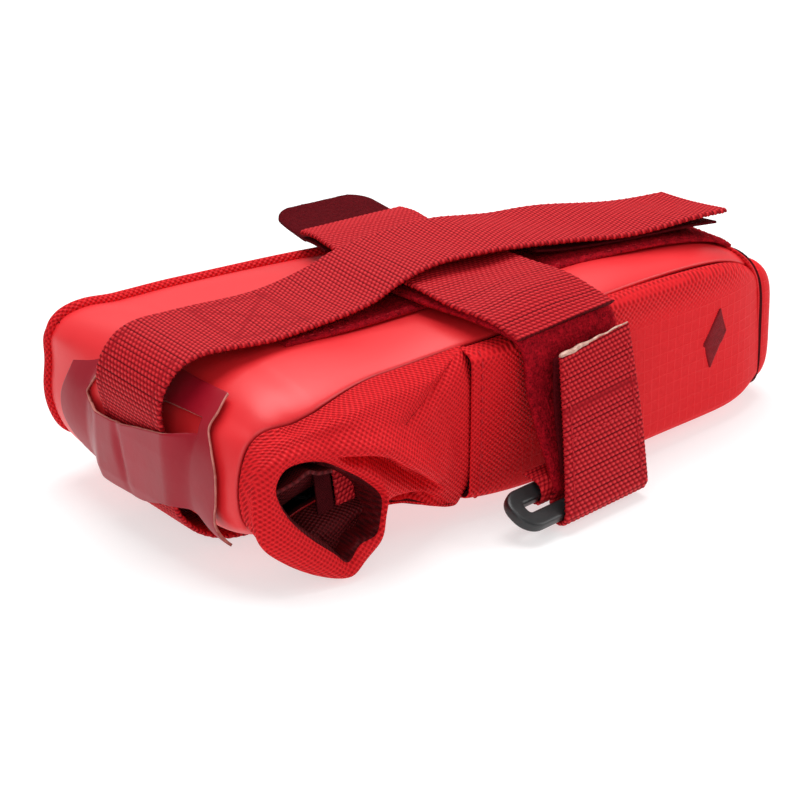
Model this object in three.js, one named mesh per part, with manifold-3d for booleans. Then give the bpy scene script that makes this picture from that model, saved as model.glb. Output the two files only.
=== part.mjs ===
// A compact fold-over saddle bag for a bicycle: coated top, base and front, woven sides, a rolled
// sleeve closure on the near side, a long seat-post strap that lies along the top, and a closure
// strap that crosses the bag and doubles back through a plastic loop.
//
// Frame: millimetres, +X from the seat post to the tail, +Y to the far side, +Z up. The origin is
// the middle of the flat of the base. Stations along the bag are measured from its front seam.
import * as THREE from 'three';
import { mergeVertices } from 'three/addons/utils/BufferGeometryUtils.js';
import Module from 'manifold-3d';

const wasm = await Module();
wasm.setup();

// Driving dimensions.
const BASE_CENTRE = 80;            // station of the origin, behind the front seam
const WALL = 1.8;                  // coated or woven cloth with its foam and lining
const CORNER_POWER = 5;            // squareness of the bag's cross-section
const FRONT_END = -4;              // first station of the four long panels
const TAIL_END = 179;              // last station of the four long panels
const FRONT_BULGE = 3.2;
const TAIL_BULGE = 6;
const END_SEAM = WALL + 0.4;       // the end panels stand clear of the long panels by their wall
const WEBBING = 1.6;               // thickness of the polyester webbing
const LONG_WIDTH = 30.5;           // seat-post strap
const TAPE = 1;                    // thickness of hook and loop tape
const FLAP_END = 59.5;             // rear edge of the closure's lifting part
const PIPING_R = 1.4;

const RED = 0xd20f1e;
const CORAL = 0xe23b42;
const CRIMSON = 0x9c1f30;
const WEB_RED = 0x9e1420;
const DARK_RED = 0x3c0a12;
const BLACK = 0x111113;
const GREY = 0x55565c;

// Outline of the bag against its stations: pairs of station and value, joined smoothly.
const TOP_LINE = [[-5, 39.5], [-2, 42.6], [3, 45.2], [12, 46.5], [40, 47], [64, 48.2], [105, 50.3],
  [135, 50.5], [155, 49], [168, 45.6], [179, 38.5]];
const BASE_LINE = [[-5, 10], [-2, 7], [4, 4.2], [14, 2.6], [24, 1.2], [34, 0], [150, 0], [165, 1],
  [179, 5.5]];
const FAR_LINE = [[-5, 45.5], [0, 48], [12, 50.5], [28, 51.5], [48, 50], [72, 45.5], [92, 40],
  [112, 34.5], [150, 24.5], [165, 18.5], [179, 8]];
const NEAR_LINE = [[-5, -45], [0, -47], [12, -48.5], [30, -47], [50, -44.5], [80, -42], [105, -39.5],
  [125, -36], [150, -31], [165, -26.5], [179, -18.5]];

const group = new THREE.Group();
group.position.x = -BASE_CENTRE;

// A smooth curve through [station, value] pairs, read at one station.
function along(line, x) {
  const last = line.length - 2;
  let i = 0;
  while (i < last && x > line[i + 1][0]) i += 1;
  const slope = (j) => {
    const a = line[Math.max(j - 1, 0)];
    const b = line[Math.min(j + 1, line.length - 1)];
    return (b[1] - a[1]) / (b[0] - a[0]);
  };
  const [x0, y0] = line[i];
  const [x1, y1] = line[i + 1];
  const w = x1 - x0;
  const t = THREE.MathUtils.clamp((x - x0) / w, 0, 1);
  const bend = t * (1 - t) * ((1 - t) * (slope(i) * w - (y1 - y0)) - t * (slope(i + 1) * w - (y1 - y0)));
  return y0 + t * (y1 - y0) + bend;
}

// A point of the bag's outer face: a superellipse at each station, flat along the base.
function bagPoint(x, degrees, inset = 0) {
  const angle = THREE.MathUtils.degToRad(degrees);
  const near = along(NEAR_LINE, x) + inset;
  const far = along(FAR_LINE, x) - inset;
  const low = Math.max(0, along(BASE_LINE, x)) + inset;
  const high = along(TOP_LINE, x) - inset;
  const power = (value) => Math.sign(value) * Math.abs(value) ** (2 / CORNER_POWER);
  const y = (near + far) / 2 + (far - near) / 2 * power(Math.cos(angle));
  const z = (low + high) / 2 + (high - low) / 2 * power(Math.sin(angle)) * 1.012;
  return new THREE.Vector3(x, y, THREE.MathUtils.clamp(z, low, high));
}

function addMesh(name, geometry, color, roughness = 0.8) {
  const material = new THREE.MeshStandardMaterial({ color, roughness, metalness: 0 });
  const mesh = new THREE.Mesh(geometry, material);
  mesh.name = name;
  group.add(mesh);
  return mesh;
}

// A closed sheet: the face map(u, v) with a second face `thick` below it, joined round the rim.
// The face's own normal is du x dv. With `ring` the sheet closes on itself along u.
function sheet(map, nu, nv, thick, ring = false) {
  const columns = ring ? nu : nu + 1;
  const rows = nv + 1;
  const positions = [];
  const step = 1e-3;
  const faces = [[], []];
  for (let j = 0; j < rows; j += 1) {
    for (let i = 0; i < columns; i += 1) {
      const u = i / nu;
      const v = j / nv;
      const point = map(u, v);
      const ulo = ring ? u - step : Math.max(u - step, 0);
      const uhi = ring ? u + step : Math.min(u + step, 1);
      const du = map(uhi, v).sub(map(ulo, v));
      const dv = map(u, Math.min(v + step, 1)).sub(map(u, Math.max(v - step, 0)));
      const normal = du.cross(dv).normalize();
      faces[0].push(point);
      faces[1].push(point.clone().addScaledVector(normal, -thick));
    }
  }
  for (const p of [...faces[0], ...faces[1]]) positions.push(p.x, p.y, p.z);
  const under = columns * rows;
  const at = (i, j) => j * columns + (i % columns);
  const index = [];
  const quad = (a, b, c, d) => index.push(a, b, c, a, c, d);
  for (let j = 0; j < nv; j += 1) {
    for (let i = 0; i < nu; i += 1) {
      const [a, b, c, d] = [at(i, j), at(i + 1, j), at(i + 1, j + 1), at(i, j + 1)];
      quad(a, b, c, d);
      quad(d + under, c + under, b + under, a + under);
    }
  }
  for (let i = 0; i < nu; i += 1) {
    quad(at(i + 1, 0), at(i, 0), at(i, 0) + under, at(i + 1, 0) + under);
    quad(at(i, nv), at(i + 1, nv), at(i + 1, nv) + under, at(i, nv) + under);
  }
  for (let j = 0; j < nv && !ring; j += 1) {
    quad(at(0, j), at(0, j + 1), at(0, j + 1) + under, at(0, j) + under);
    quad(at(nu, j + 1), at(nu, j), at(nu, j) + under, at(nu, j + 1) + under);
  }
  const geometry = new THREE.BufferGeometry();
  geometry.setAttribute('position', new THREE.Float32BufferAttribute(positions, 3));
  geometry.setIndex(index);
  return geometry;
}

// A manifold solid of a geometry, and a geometry of a solid.
function solidOf(geometry) {
  const bare = geometry.clone();
  bare.deleteAttribute('normal');
  bare.deleteAttribute('uv');
  const merged = mergeVertices(bare, 1e-4);
  return new wasm.Manifold(new wasm.Mesh({
    numProp: 3,
    vertProperties: merged.attributes.position.array,
    triVerts: new Uint32Array(merged.index.array),
  }));
}

function geometryOf(solid) {
  const mesh = solid.getMesh();
  const geometry = new THREE.BufferGeometry();
  geometry.setAttribute('position', new THREE.Float32BufferAttribute(mesh.vertProperties, 3));
  geometry.setIndex(Array.from(mesh.triVerts));
  return geometry;
}

// A point at arc-length fraction t of a smooth curve through the given points.
function through(points) {
  const curve = new THREE.CatmullRomCurve3(points.map((p) => new THREE.Vector3(...p)), false, 'centripetal');
  return (t) => curve.getPointAt(THREE.MathUtils.clamp(t, 0, 1));
}

// Webbing or tape between two edges. The map is the upper face when u runs along the strap and v
// runs from the right-hand edge to the left-hand one.
function strip(name, right, left, steps, thick, color, roughness = 0.85) {
  const a = through(right);
  const b = through(left);
  const map = (u, v) => a(u).lerp(b(u), v);
  return addMesh(name, sheet(map, steps, 1, thick), color, roughness);
}

// --- The shell -------------------------------------------------------------------------------

// One long panel of the bag between two angles of the cross-section.
function longPanel(name, from, to, x0, x1, color, roughness) {
  const map = (u, v) => bagPoint(x0 + (x1 - x0) * u, from + (to - from) * v);
  return addMesh(name, sheet(map, Math.round((x1 - x0) / 8), 8, WALL), color, roughness);
}

// A domed end panel, drawn over a square whose corners are rounded into the superellipse.
function endPanel(name, x, bulge, side, color) {
  const near = along(NEAR_LINE, x);
  const far = along(FAR_LINE, x);
  const low = along(BASE_LINE, x);
  const high = along(TOP_LINE, x);
  const round = 0.24;
  const map = (u, v) => {
    const s = (2 * u - 1) * side;
    const t = 2 * v - 1;
    const y = (near + far) / 2 + (far - near) / 2 * s * Math.sqrt(1 - round * t * t);
    const z = (low + high) / 2 + (high - low) / 2 * t * Math.sqrt(1 - round * s * s);
    const dome = ((1 - s ** 6) * (1 - t ** 4)) ** 0.5;
    return new THREE.Vector3(x + side * (END_SEAM + bulge * dome), y, z);
  };
  return addMesh(name, sheet(map, 10, 8, WALL), color, 0.45);
}

longPanel('top_panel', 134, 46, FRONT_END, TAIL_END, CORAL, 0.45);
longPanel('far_side_panel', 43, -43, FRONT_END, TAIL_END, RED, 0.85);
longPanel('base_panel', -46, -134, FRONT_END, TAIL_END, CORAL, 0.45);
longPanel('near_side_panel', -137, -223, FLAP_END + 2.5, TAIL_END, RED, 0.85);
endPanel('front_panel', FRONT_END, FRONT_BULGE, -1, CORAL);
endPanel('tail_panel', TAIL_END, TAIL_BULGE, 1, RED);


// --- Inside the bag ----------------------------------------------------------------------------

// A lining, board or pocket that follows the inside of the shell.
function innerSheet(name, from, to, x0, x1, inset, thick, color) {
  const map = (u, v) => bagPoint(x0 + (x1 - x0) * u, from + (to - from) * v, inset);
  return addMesh(name, sheet(map, 8, 6, thick), color, 0.9);
}

innerSheet('top_stiffener', 128, 52, 6, 168, WALL + 0.6, 1.2, DARK_RED);
innerSheet('base_board', -54, -126, 24, 160, WALL + 0.6, 1.5, GREY);
innerSheet('inner_pocket', 30, -30, 20, 112, WALL + 1.6, 0.8, DARK_RED);
innerSheet('mouth_lip', -139, -176, 1, FLAP_END - 2, WALL + 2.8, 1.2, RED);

// --- The closure's lifting part ----------------------------------------------------------------

const EAR = { x: 12, z: 15.9, rx: 17.4, rz: 14.6, inner: -45.4, mouth: -55.5, wall: 2.2 };
const FLAP_SHORT = 171;            // lower edge of the flap above the ear, as a section angle
const FLAP_LONG = 222;             // lower edge of the flap behind the ear

// The flap hangs from the near top edge, short above the ear and full height behind it.
function flapPoint(u, v, inset) {
  const x = FRONT_END + 1 + (FLAP_END - FRONT_END - 1) * u;
  const fall = THREE.MathUtils.smoothstep(x, EAR.x + EAR.rx + 0.6, EAR.x + EAR.rx + 3);
  const lower = FLAP_SHORT + (FLAP_LONG - FLAP_SHORT) * fall;
  return bagPoint(x, lower + (137 - lower) * v, inset);
}
addMesh('closure_flap', sheet((u, v) => flapPoint(u, v, 0), 24, 8, WALL), RED);
innerSheet('closure_lining', 168, 143, 0, FLAP_END - 3, WALL + 0.6, 0.9, DARK_RED);

// The open end of the rolled sleeve: an oval ring that flares to its mouth.
function earPoint(u, v) {
  const angle = 2 * Math.PI * u;
  const flare = 1 + 0.035 * Math.sin(Math.PI * v);
  return new THREE.Vector3(
    EAR.x + EAR.rx * flare * Math.cos(angle) - 3 * v * Math.max(0, -Math.cos(angle)),
    EAR.inner + (EAR.mouth - EAR.inner) * v,
    EAR.z + EAR.rz * flare * Math.sin(angle),
  );
}
addMesh('closure_ear', sheet(earPoint, 20, 4, EAR.wall, true), RED);
strip('ear_fold', [[3, -47.4, 8], [5, -47.8, 18], [10, -47.4, 25]],
  [[0, -47.2, 11], [1, -47.6, 19], [7, -47.3, 25]], 5, 0.8, DARK_RED);
strip('ear_seam_tape', [[16.6, -47.2, 5.5], [16.3, -47.8, 15], [15, -47.4, 26]],
  [[12.2, -47.2, 5.5], [12, -47.8, 15], [11.2, -47.4, 26]], 5, 0.8, DARK_RED);
strip('ear_pull_webbing', [[23, -47.2, 10], [23.4, -47.8, 17], [21.5, -47.4, 23.5]],
  [[18, -47.2, 7], [17.8, -47.8, 16], [16.8, -47.4, 25.5]], 5, 0.8, WEB_RED);

// --- Edges and trim ----------------------------------------------------------------------------

// Piping in the far top seam, along the bag's whole length.
function seamPoint(x) {
  const here = bagPoint(x, 45);
  return here.add(new THREE.Vector3(0, 1, 1).normalize().multiplyScalar(PIPING_R + 0.5));
}
const pipingStations = [...Array(12).keys()].map((i) => 1 + 14.5 * i);
const pipingPath = new THREE.CatmullRomCurve3(pipingStations.map(seamPoint));
const pipingSection = new THREE.Shape().absarc(0, 0, PIPING_R, 0, 2 * Math.PI);
addMesh('far_piping', new THREE.ExtrudeGeometry(pipingSection, {
  steps: 30, curveSegments: 4, extrudePath: pipingPath,
}), RED, 0.85);

const MOTIF = { x: 154, y: -31.3, z: 23.5, halfWidth: 6, halfHeight: 9, turn: 0.29 };
const lozenge = new THREE.Shape([
  new THREE.Vector2(0, -MOTIF.halfHeight),
  new THREE.Vector2(MOTIF.halfWidth, 0),
  new THREE.Vector2(0, MOTIF.halfHeight),
  new THREE.Vector2(-MOTIF.halfWidth, 0),
]);
const motif = addMesh('tail_motif', new THREE.ExtrudeGeometry(lozenge, { depth: 0.6, bevelEnabled: false }), DARK_RED);
motif.rotation.set(Math.PI / 2, MOTIF.turn, 0, 'ZXY');
motif.position.set(MOTIF.x, MOTIF.y, MOTIF.z);

// --- Lash patch on the front -------------------------------------------------------------------

const PATCH = { thick: 1, near: -34, far: 31, low: 6.5, high: 42 };
const SLOT = { near: -24, far: 16.5, low: 28.6, high: 37 };
const PATCH_AT_WALL = [[6.5, -8.2], [10, -9.8], [15, -11.2], [25, -11.5], [33, -11.2], [38, -10], [42, -8.4]];
const PATCH_OVER_STRAP = [[6.5, -11.4], [10, -12.4], [15, -13.6], [25, -14.1], [29, -14.1], [37, -12.2], [42, -11.3]];

function patchPoint(u, v) {
  const z = PATCH.low + (PATCH.high - PATCH.low) * v;
  const waist = 1 - 0.1 * Math.sin(Math.PI * v);
  const mid = (PATCH.near + PATCH.far) / 2;
  const y = mid + (PATCH.far - mid) * waist * (1 - 2 * u);
  const lift = 1 - THREE.MathUtils.smoothstep(Math.abs(y + 4), 19, 28);
  const x = along(PATCH_AT_WALL, z) * (1 - lift) + along(PATCH_OVER_STRAP, z) * lift;
  return new THREE.Vector3(x, y, z);
}
const slotCut = new THREE.BoxGeometry(12, SLOT.far - SLOT.near, SLOT.high - SLOT.low);
slotCut.translate(-14, (SLOT.far + SLOT.near) / 2, (SLOT.high + SLOT.low) / 2);
const entryCut = new THREE.CylinderGeometry(17, 17, 14, 24);
entryCut.rotateZ(Math.PI / 2);
entryCut.scale(1, 1, 0.4);
entryCut.translate(-12, -6, PATCH.low - 1);
const patchSolid = solidOf(sheet(patchPoint, 20, 12, PATCH.thick))
  .subtract(solidOf(slotCut))
  .subtract(solidOf(entryCut));
addMesh('lash_patch', geometryOf(patchSolid), CRIMSON, 0.4);

// --- Seat-post strap ---------------------------------------------------------------------------

// Both edges of a strap that runs in the XZ plane, about a middle line in y.
function edges(path, middle, width) {
  const half = width / 2;
  return [
    path.map(([x, z]) => [x, along(middle, x) - half, z]),
    path.map(([x, z]) => [x, along(middle, x) + half, z]),
  ];
}
const STRAP_MIDDLE = [[-15, -4], [20, -4], [45, -2], [80, 0], [110, -0.5], [135, -3], [168, -6.5]];
const ROOT_PATH = [[16, 0.2], [8, 0.5], [2, 1.7], [-4.5, 5], [-9.2, 9.6], [-11.6, 15], [-12.3, 21],
  [-12.3, 27.2], [-13.2, 32], [-14.5, 36.5], [-14.6, 41], [-13, 45], [-10.6, 48]];
const RUN_PATH = [[-8.8, 49.6], [-3, 51.4], [5, 51.2], [20, 50.8], [36, 51.2], [49, 53.4], [58, 57],
  [70, 58.6], [88, 59.2], [98.3, 58.6]];
const TAIL_PATH = [[100.7, 58.2], [110, 56.6], [125, 55.8], [140, 56], [155, 56.8], [167, 57.4]];

const [rootNear, rootFar] = edges(ROOT_PATH, STRAP_MIDDLE, LONG_WIDTH);
strip('strap_root', rootNear, rootFar, 26, WEBBING, WEB_RED);
const [runNear, runFar] = edges(RUN_PATH, STRAP_MIDDLE, LONG_WIDTH);
strip('strap_run', runNear, runFar, 24, WEBBING, WEB_RED);
const TAIL_TWIST = { from: 125, to: 167, drop: 2.5 };   // the far edge of the free end hangs lower
const twisted = (edge) => edge.map(([x, y, z]) => [
  x, y, z - TAIL_TWIST.drop * THREE.MathUtils.smoothstep(x, TAIL_TWIST.from, TAIL_TWIST.to),
]);
const [tailNear, tailFar] = edges(TAIL_PATH, STRAP_MIDDLE, LONG_WIDTH - 1);
strip('strap_tail', tailNear, twisted(tailFar), 14, WEBBING, WEB_RED);

const hookPath = TAIL_PATH.slice(1).map(([x, z]) => [x, z - WEBBING - 0.4]);
const [hookNear, hookFar] = edges(hookPath, STRAP_MIDDLE, LONG_WIDTH - 4);
strip('strap_hook_tape', hookNear, twisted(hookFar), 12, TAPE, DARK_RED);

const LOOP_TAPE = { x0: 22, x1: 163, near: -18.5, far: 11 };
const loopMap = (u, v) => {
  const x = LOOP_TAPE.x0 + (LOOP_TAPE.x1 - LOOP_TAPE.x0) * u;
  return new THREE.Vector3(x, LOOP_TAPE.near + (LOOP_TAPE.far - LOOP_TAPE.near) * v, along(TOP_LINE, x) + TAPE + 0.5);
};
addMesh('top_loop_tape', sheet(loopMap, 24, 1, TAPE), DARK_RED);

// --- Plastic loop on the near side -------------------------------------------------------------

const RING = { x: 90.5, y: -54.7, z: 5, bar: 3, half: 18, gap: 10.5, skew: 0.132 };
const across = new THREE.Vector3(1, RING.skew, 0).normalize();
const outward = new THREE.Vector3(RING.skew * 0.86, -0.86, -0.51).normalize();
const ringSide = (x) => RING.y + RING.skew * (x - RING.x);

function roundedRectangle(x0, y0, x1, y1, r) {
  const shape = new THREE.Shape();
  shape.absarc(x1 - r, y1 - r, r, 0, Math.PI / 2);
  shape.absarc(x0 + r, y1 - r, r, Math.PI / 2, Math.PI);
  shape.absarc(x0 + r, y0 + r, r, Math.PI, 1.5 * Math.PI);
  shape.absarc(x1 - r, y0 + r, r, 1.5 * Math.PI, 2 * Math.PI);
  return shape;
}
const bar = RING.bar;
const ringOutline = roundedRectangle(-RING.half - bar, -RING.gap - bar / 2, RING.half + bar, bar / 2, 2.8);
ringOutline.holes.push(roundedRectangle(-RING.half, -RING.gap + bar / 2, RING.half, -bar / 2, 1));
const ringGeometry = new THREE.ExtrudeGeometry(ringOutline, { depth: bar, bevelEnabled: false, curveSegments: 5 });
ringGeometry.translate(0, 0, -bar / 2);
const ringTurn = new THREE.Matrix4().makeBasis(across, outward, across.clone().cross(outward));
ringGeometry.applyMatrix4(ringTurn);
ringGeometry.translate(RING.x, RING.y, RING.z);
addMesh('closure_ring', ringGeometry, BLACK, 0.35);

// Points round one bar of the loop, from one angle to another, at one station and radius.
function roundBar(x, backY, z, radius, from, to, count) {
  const points = [];
  for (let i = 0; i <= count; i += 1) {
    const a = THREE.MathUtils.degToRad(from + (to - from) * i / count);
    points.push([x, ringSide(x) + backY + radius * Math.cos(a), z + radius * Math.sin(a)]);
  }
  return points;
}
const BACK_BAR = { y: 0.86 * RING.gap, z: RING.z + 0.51 * RING.gap };
const anchorEdge = (x) => [
  [x, ringSide(x) + BACK_BAR.y + 2.9, BACK_BAR.z - 3.7],
  ...roundBar(x, BACK_BAR.y, BACK_BAR.z, 3.7, -90, -270, 8),
  [x, ringSide(x) + BACK_BAR.y + 2.9, BACK_BAR.z + 3.7],
];
strip('ring_anchor', anchorEdge(103), anchorEdge(78), 16, 1.2, WEB_RED);

// --- Closure strap across the bag --------------------------------------------------------------

strip('cross_loop_strap',
  [[59.5, 12, 51.4], [60, -5, 51.6], [61.5, -22, 51.6], [67, -37.5, 50], [73.6, -45, 44.5],
    [75.3, -46.4, 32], [76.6, -49.5, 21], [77.4, -54, 13.5], [77.5, ringSide(77.5) + 3.4, 5.9]],
  [[93.5, 17, 53], [94, 4, 53.2], [95.5, -14, 53.2], [101, -30, 52.2], [106.2, -40.3, 46.5],
    [107.4, -43, 33], [107.8, -46, 21], [107.6, -50, 13.5], [107.4, ringSide(107.4) + 3.4, 5.9]],
  34, TAPE, WEB_RED);
strip('cross_webbing_near',
  [[61.7, -20.5, 53.9], [63, -29, 53.6], [67.5, -39, 52], [72.4, -46, 47.4]],
  [[95.8, -12.5, 55.5], [97, -20, 55.3], [101, -31, 54.6], [106.4, -41.4, 49.6]],
  12, WEBBING, WEB_RED);
strip('cross_webbing_root',
  [[61, 20.2, 55.2], [60, 8, 55.2]],
  [[94.5, 20.2, 55.2], [94, 12, 55.2]],
  4, WEBBING, WEB_RED);
strip('cross_webbing_far',
  [[64, 38, 54.4], [62.6, 30, 55.2], [61.2, 22.6, 55.3]],
  [[97.5, 39.5, 54.4], [96, 31, 55.2], [94.6, 22.6, 55.3]],
  8, WEBBING, WEB_RED);
strip('hook_strap',
  [[64.4, 39, 51.8], [63, 31, 52.6], [61.6, 23.4, 52.6]],
  [[97.2, 39, 51.8], [95.6, 31, 52.6], [94.4, 23.4, 52.6]],
  6, TAPE, DARK_RED);
strip('hook_tab',
  [[71.5, 58.5, 51.2], [66.5, 54, 51.4], [65.2, 41.4, 51.7]],
  [[95, 58.5, 51.2], [97.6, 54, 51.4], [97.2, 41.4, 51.7]],
  8, TAPE, DARK_RED);

// --- Tab that doubles back through the loop ----------------------------------------------------

const TAB_FOLD = 4.1;               // outer radius of the tab where it turns round the loop's bar
const TAB_TOP = { low: [82, -49.4, 41], high: [106, -46.8, 44.5] };
const tabEdge = (x, top) => [
  ...roundBar(x, 0, RING.z, TAB_FOLD, -84, -180, 6),
  [x + (top[0] - x) * 0.5, (ringSide(x) - TAB_FOLD + top[1]) / 2 - 0.4, (RING.z + top[2]) / 2],
  top,
];
strip('closure_tab', tabEdge(107, TAB_TOP.high), tabEdge(77.2, TAB_TOP.low), 22, WEBBING, WEB_RED);
strip('tab_hook_tape',
  [[106.6, -52.2, 13], [106.4, -48.2, 30], [105.6, -44.8, 42.5]],
  [[78.8, -55.7, 13], [80, -51.2, 30], [82.2, -47.2, 39.5]],
  10, TAPE, DARK_RED);
strip('tab_end_seal',
  [[106, -46.7, 44.9], [105.9, -46.4, 46.2]],
  [[82, -49.3, 41.4], [82.1, -49, 42.7]],
  2, WEBBING, 0xc59a86, 0.5);

export default group;
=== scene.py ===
# %% [markdown]
# # A bicycle saddle bag in cloth, webbing and film
# The real bag is sewn from a satin coated cloth, a dotted ballistic cloth and ribbed webbing.
# Every piece is a surface worked out with numpy from a few rules, because cloth that is cut
# flat and sewn is well described by smooth functions of two parameters.

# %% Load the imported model, which holds the sizes, the bodies and the joints
import math
import bpy
import numpy as np
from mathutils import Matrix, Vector


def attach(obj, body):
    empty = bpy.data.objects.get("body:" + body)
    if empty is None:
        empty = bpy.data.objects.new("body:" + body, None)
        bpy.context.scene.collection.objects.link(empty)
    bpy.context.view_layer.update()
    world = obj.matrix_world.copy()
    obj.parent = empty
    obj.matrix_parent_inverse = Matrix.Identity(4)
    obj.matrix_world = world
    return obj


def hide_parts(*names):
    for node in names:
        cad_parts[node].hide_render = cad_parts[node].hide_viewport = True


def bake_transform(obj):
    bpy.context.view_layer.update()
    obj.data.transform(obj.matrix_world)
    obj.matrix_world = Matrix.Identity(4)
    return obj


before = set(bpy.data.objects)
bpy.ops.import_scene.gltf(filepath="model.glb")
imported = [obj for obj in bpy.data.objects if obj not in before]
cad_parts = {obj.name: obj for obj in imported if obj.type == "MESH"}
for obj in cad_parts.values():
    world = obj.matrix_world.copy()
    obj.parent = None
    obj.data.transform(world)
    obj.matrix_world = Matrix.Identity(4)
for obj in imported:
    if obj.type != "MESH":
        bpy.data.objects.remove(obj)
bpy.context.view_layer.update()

# %% [markdown]
# Cloth is drawn in stations: millimetres behind the front seam, as a pattern cutter measures.
# The model's origin is the middle of the flat base, 80 mm behind that seam.

# %% Units, and a smooth curve through control rows
MM = 0.001
BASE_CENTRE = np.array([80.0, 0.0, 0.0])


def hermite(knots, rows, t):
    """Cubic curve through rows placed at knots. The slope at a knot is the step between its two
    neighbours, divided by their distance, so the curve never bulges past a gentle row."""
    knots, rows, t = (np.asarray(a, float) for a in (knots, rows, t))
    gap = np.diff(knots)
    slope = np.empty_like(rows)
    slope[1:-1] = (rows[2:] - rows[:-2]) / (knots[2:] - knots[:-2])[:, None]
    slope[0], slope[-1] = (rows[1] - rows[0]) / gap[0], (rows[-1] - rows[-2]) / gap[-1]
    i = np.clip(np.searchsorted(knots, t, side="right") - 1, 0, len(knots) - 2)
    width = gap[i][..., None]
    f = np.clip((t[..., None] - knots[i][..., None]) / width, 0, 1)
    h = f * f * (3 - 2 * f)
    pull = slope[i] * width * f * (1 - f) ** 2 - slope[i + 1] * width * f * f * (1 - f)
    return rows[i] * (1 - h) + rows[i + 1] * h + pull


def at_station(table, x):
    """A value given at a few stations, read smoothly at any station."""
    table = np.asarray(table, float)
    return hermite(table[:, 0], table[:, 1:], np.asarray(x, float))[..., 0]


def measured(points, count):
    """The same line with points at equal distances."""
    walk = np.concatenate([[0], np.cumsum(np.linalg.norm(np.diff(points, axis=0), axis=1))])
    want = np.linspace(0, walk[-1], count)
    return np.stack([np.interp(want, walk, points[:, k]) for k in range(points.shape[1])], axis=1)


def curve(points, count):
    """A smooth line through a few points, with count points at equal distances."""
    points = np.asarray(points, float)
    knots = np.concatenate([[0], np.cumsum(np.linalg.norm(np.diff(points, axis=0), axis=1) ** 0.6)])
    return measured(hermite(knots, points, np.linspace(0, knots[-1], 30 * len(points))), count)


def step(x, low, high):
    """0 below low, 1 above high, and a smooth S between them."""
    t = np.clip((x - low) / (high - low), 0, 1)
    return t * t * (3 - 2 * t)


def bell(x, middle, width):
    """A smooth hump of height 1."""
    return np.exp(-((x - middle) / width) ** 2)


print("a step half way", float(step(0.5, 0, 1)))

# %% [markdown]
# A surface is a grid of points, and a cloth is a grid with a second one under it. Four
# neighbours make a face, and the mean distances between rows and between columns become the
# cloth's own flat coordinates, so that a weave keeps its pitch wherever the cloth bends.

# %% Grid to closed cloth
def spread(points, axis):
    """Running mean distance between neighbouring rows, starting at 0."""
    gaps = np.linalg.norm(np.diff(points, axis=axis), axis=2).mean(axis=1 - axis)
    return np.concatenate([[0.0], np.cumsum(gaps)])


def flat_of(points):
    """Flat coordinates of a grid in mm: distance along the rows and across the columns."""
    return np.stack(np.meshgrid(spread(points, 0), spread(points, 1), indexing="ij"), axis=-1)


def normals_of(points, wrap=False):
    """Unit normal at each point: across the columns crossed with along the rows."""
    if wrap:
        points = np.concatenate([points[:, -1:], points, points[:, :1]], axis=1)
    normal = np.cross(np.gradient(points, axis=1), np.gradient(points, axis=0))
    normal /= np.linalg.norm(normal, axis=2, keepdims=True) + 1e-12
    return normal[:, 1:-1] if wrap else normal


def grid_faces(number, wrap):
    """Quads of a grid of vertex numbers."""
    if wrap:
        number = np.concatenate([number, number[:, :1]], axis=1)
    corners = number[:-1, :-1], number[:-1, 1:], number[1:, 1:], number[1:, :-1]
    return np.stack(corners, axis=-1).reshape(-1, 4)


def rim_faces(a, b):
    """Quads that join one edge line of the face, a, to the same edge of the back, b."""
    return np.stack([a[1:], a[:-1], b[:-1], b[1:]], axis=-1)


def closed_faces(rows, columns, wrap):
    """Quads of a face grid, a back grid and the rim between them, and which of the three."""
    face = np.arange(rows * columns).reshape(rows, columns)
    back = face + rows * columns
    sides = [grid_faces(face, wrap), grid_faces(back, wrap)[:, ::-1]]
    ring = (lambda line: np.append(line, line[0])) if wrap else (lambda line: line)
    rim = [rim_faces(ring(face[0]), ring(back[0])),
           rim_faces(ring(face[-1])[::-1], ring(back[-1])[::-1])]
    if not wrap:
        rim += [rim_faces(face[::-1, 0], back[::-1, 0]), rim_faces(face[:, -1], back[:, -1])]
    sides.append(np.concatenate(rim))
    return np.concatenate(sides), np.repeat([0, 1, 2], [len(side) for side in sides])


def new_piece(name, vertices, quads, materials, slot, body, kinds=None, uv=None, marks=()):
    """A smooth mesh piece from vertices in stations, with its flat coordinates and marks."""
    mesh = bpy.data.meshes.new(name)
    place = (vertices.reshape(-1, 3) - BASE_CENTRE) * MM
    mesh.from_pydata(place.tolist(), [], quads.tolist())
    corners = np.empty(len(mesh.loops), np.int32)
    mesh.loops.foreach_get("vertex_index", corners)
    if uv is not None:
        layer = mesh.uv_layers.new(name="cloth")
        layer.data.foreach_set("uv", (uv.reshape(-1, 2)[corners] * MM).astype(np.float32).ravel())
    for mark, values in dict(marks).items():
        mesh.attributes.new(mark, "FLOAT", "POINT").data.foreach_set(
            "value", np.asarray(values, np.float32).ravel())
    mesh.polygons.foreach_set("use_smooth", np.ones(len(mesh.polygons), bool))
    for material in materials:
        mesh.materials.append(material)
    if kinds is not None:
        mesh.polygons.foreach_set("material_index", np.minimum(kinds, len(materials) - 1))
    mesh.update()
    piece = bpy.data.objects.new(name, mesh)
    bpy.context.scene.collection.objects.link(piece)
    if body:
        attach(piece, body)
    print(name, len(quads) * 2, "triangles")
    return piece


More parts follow.
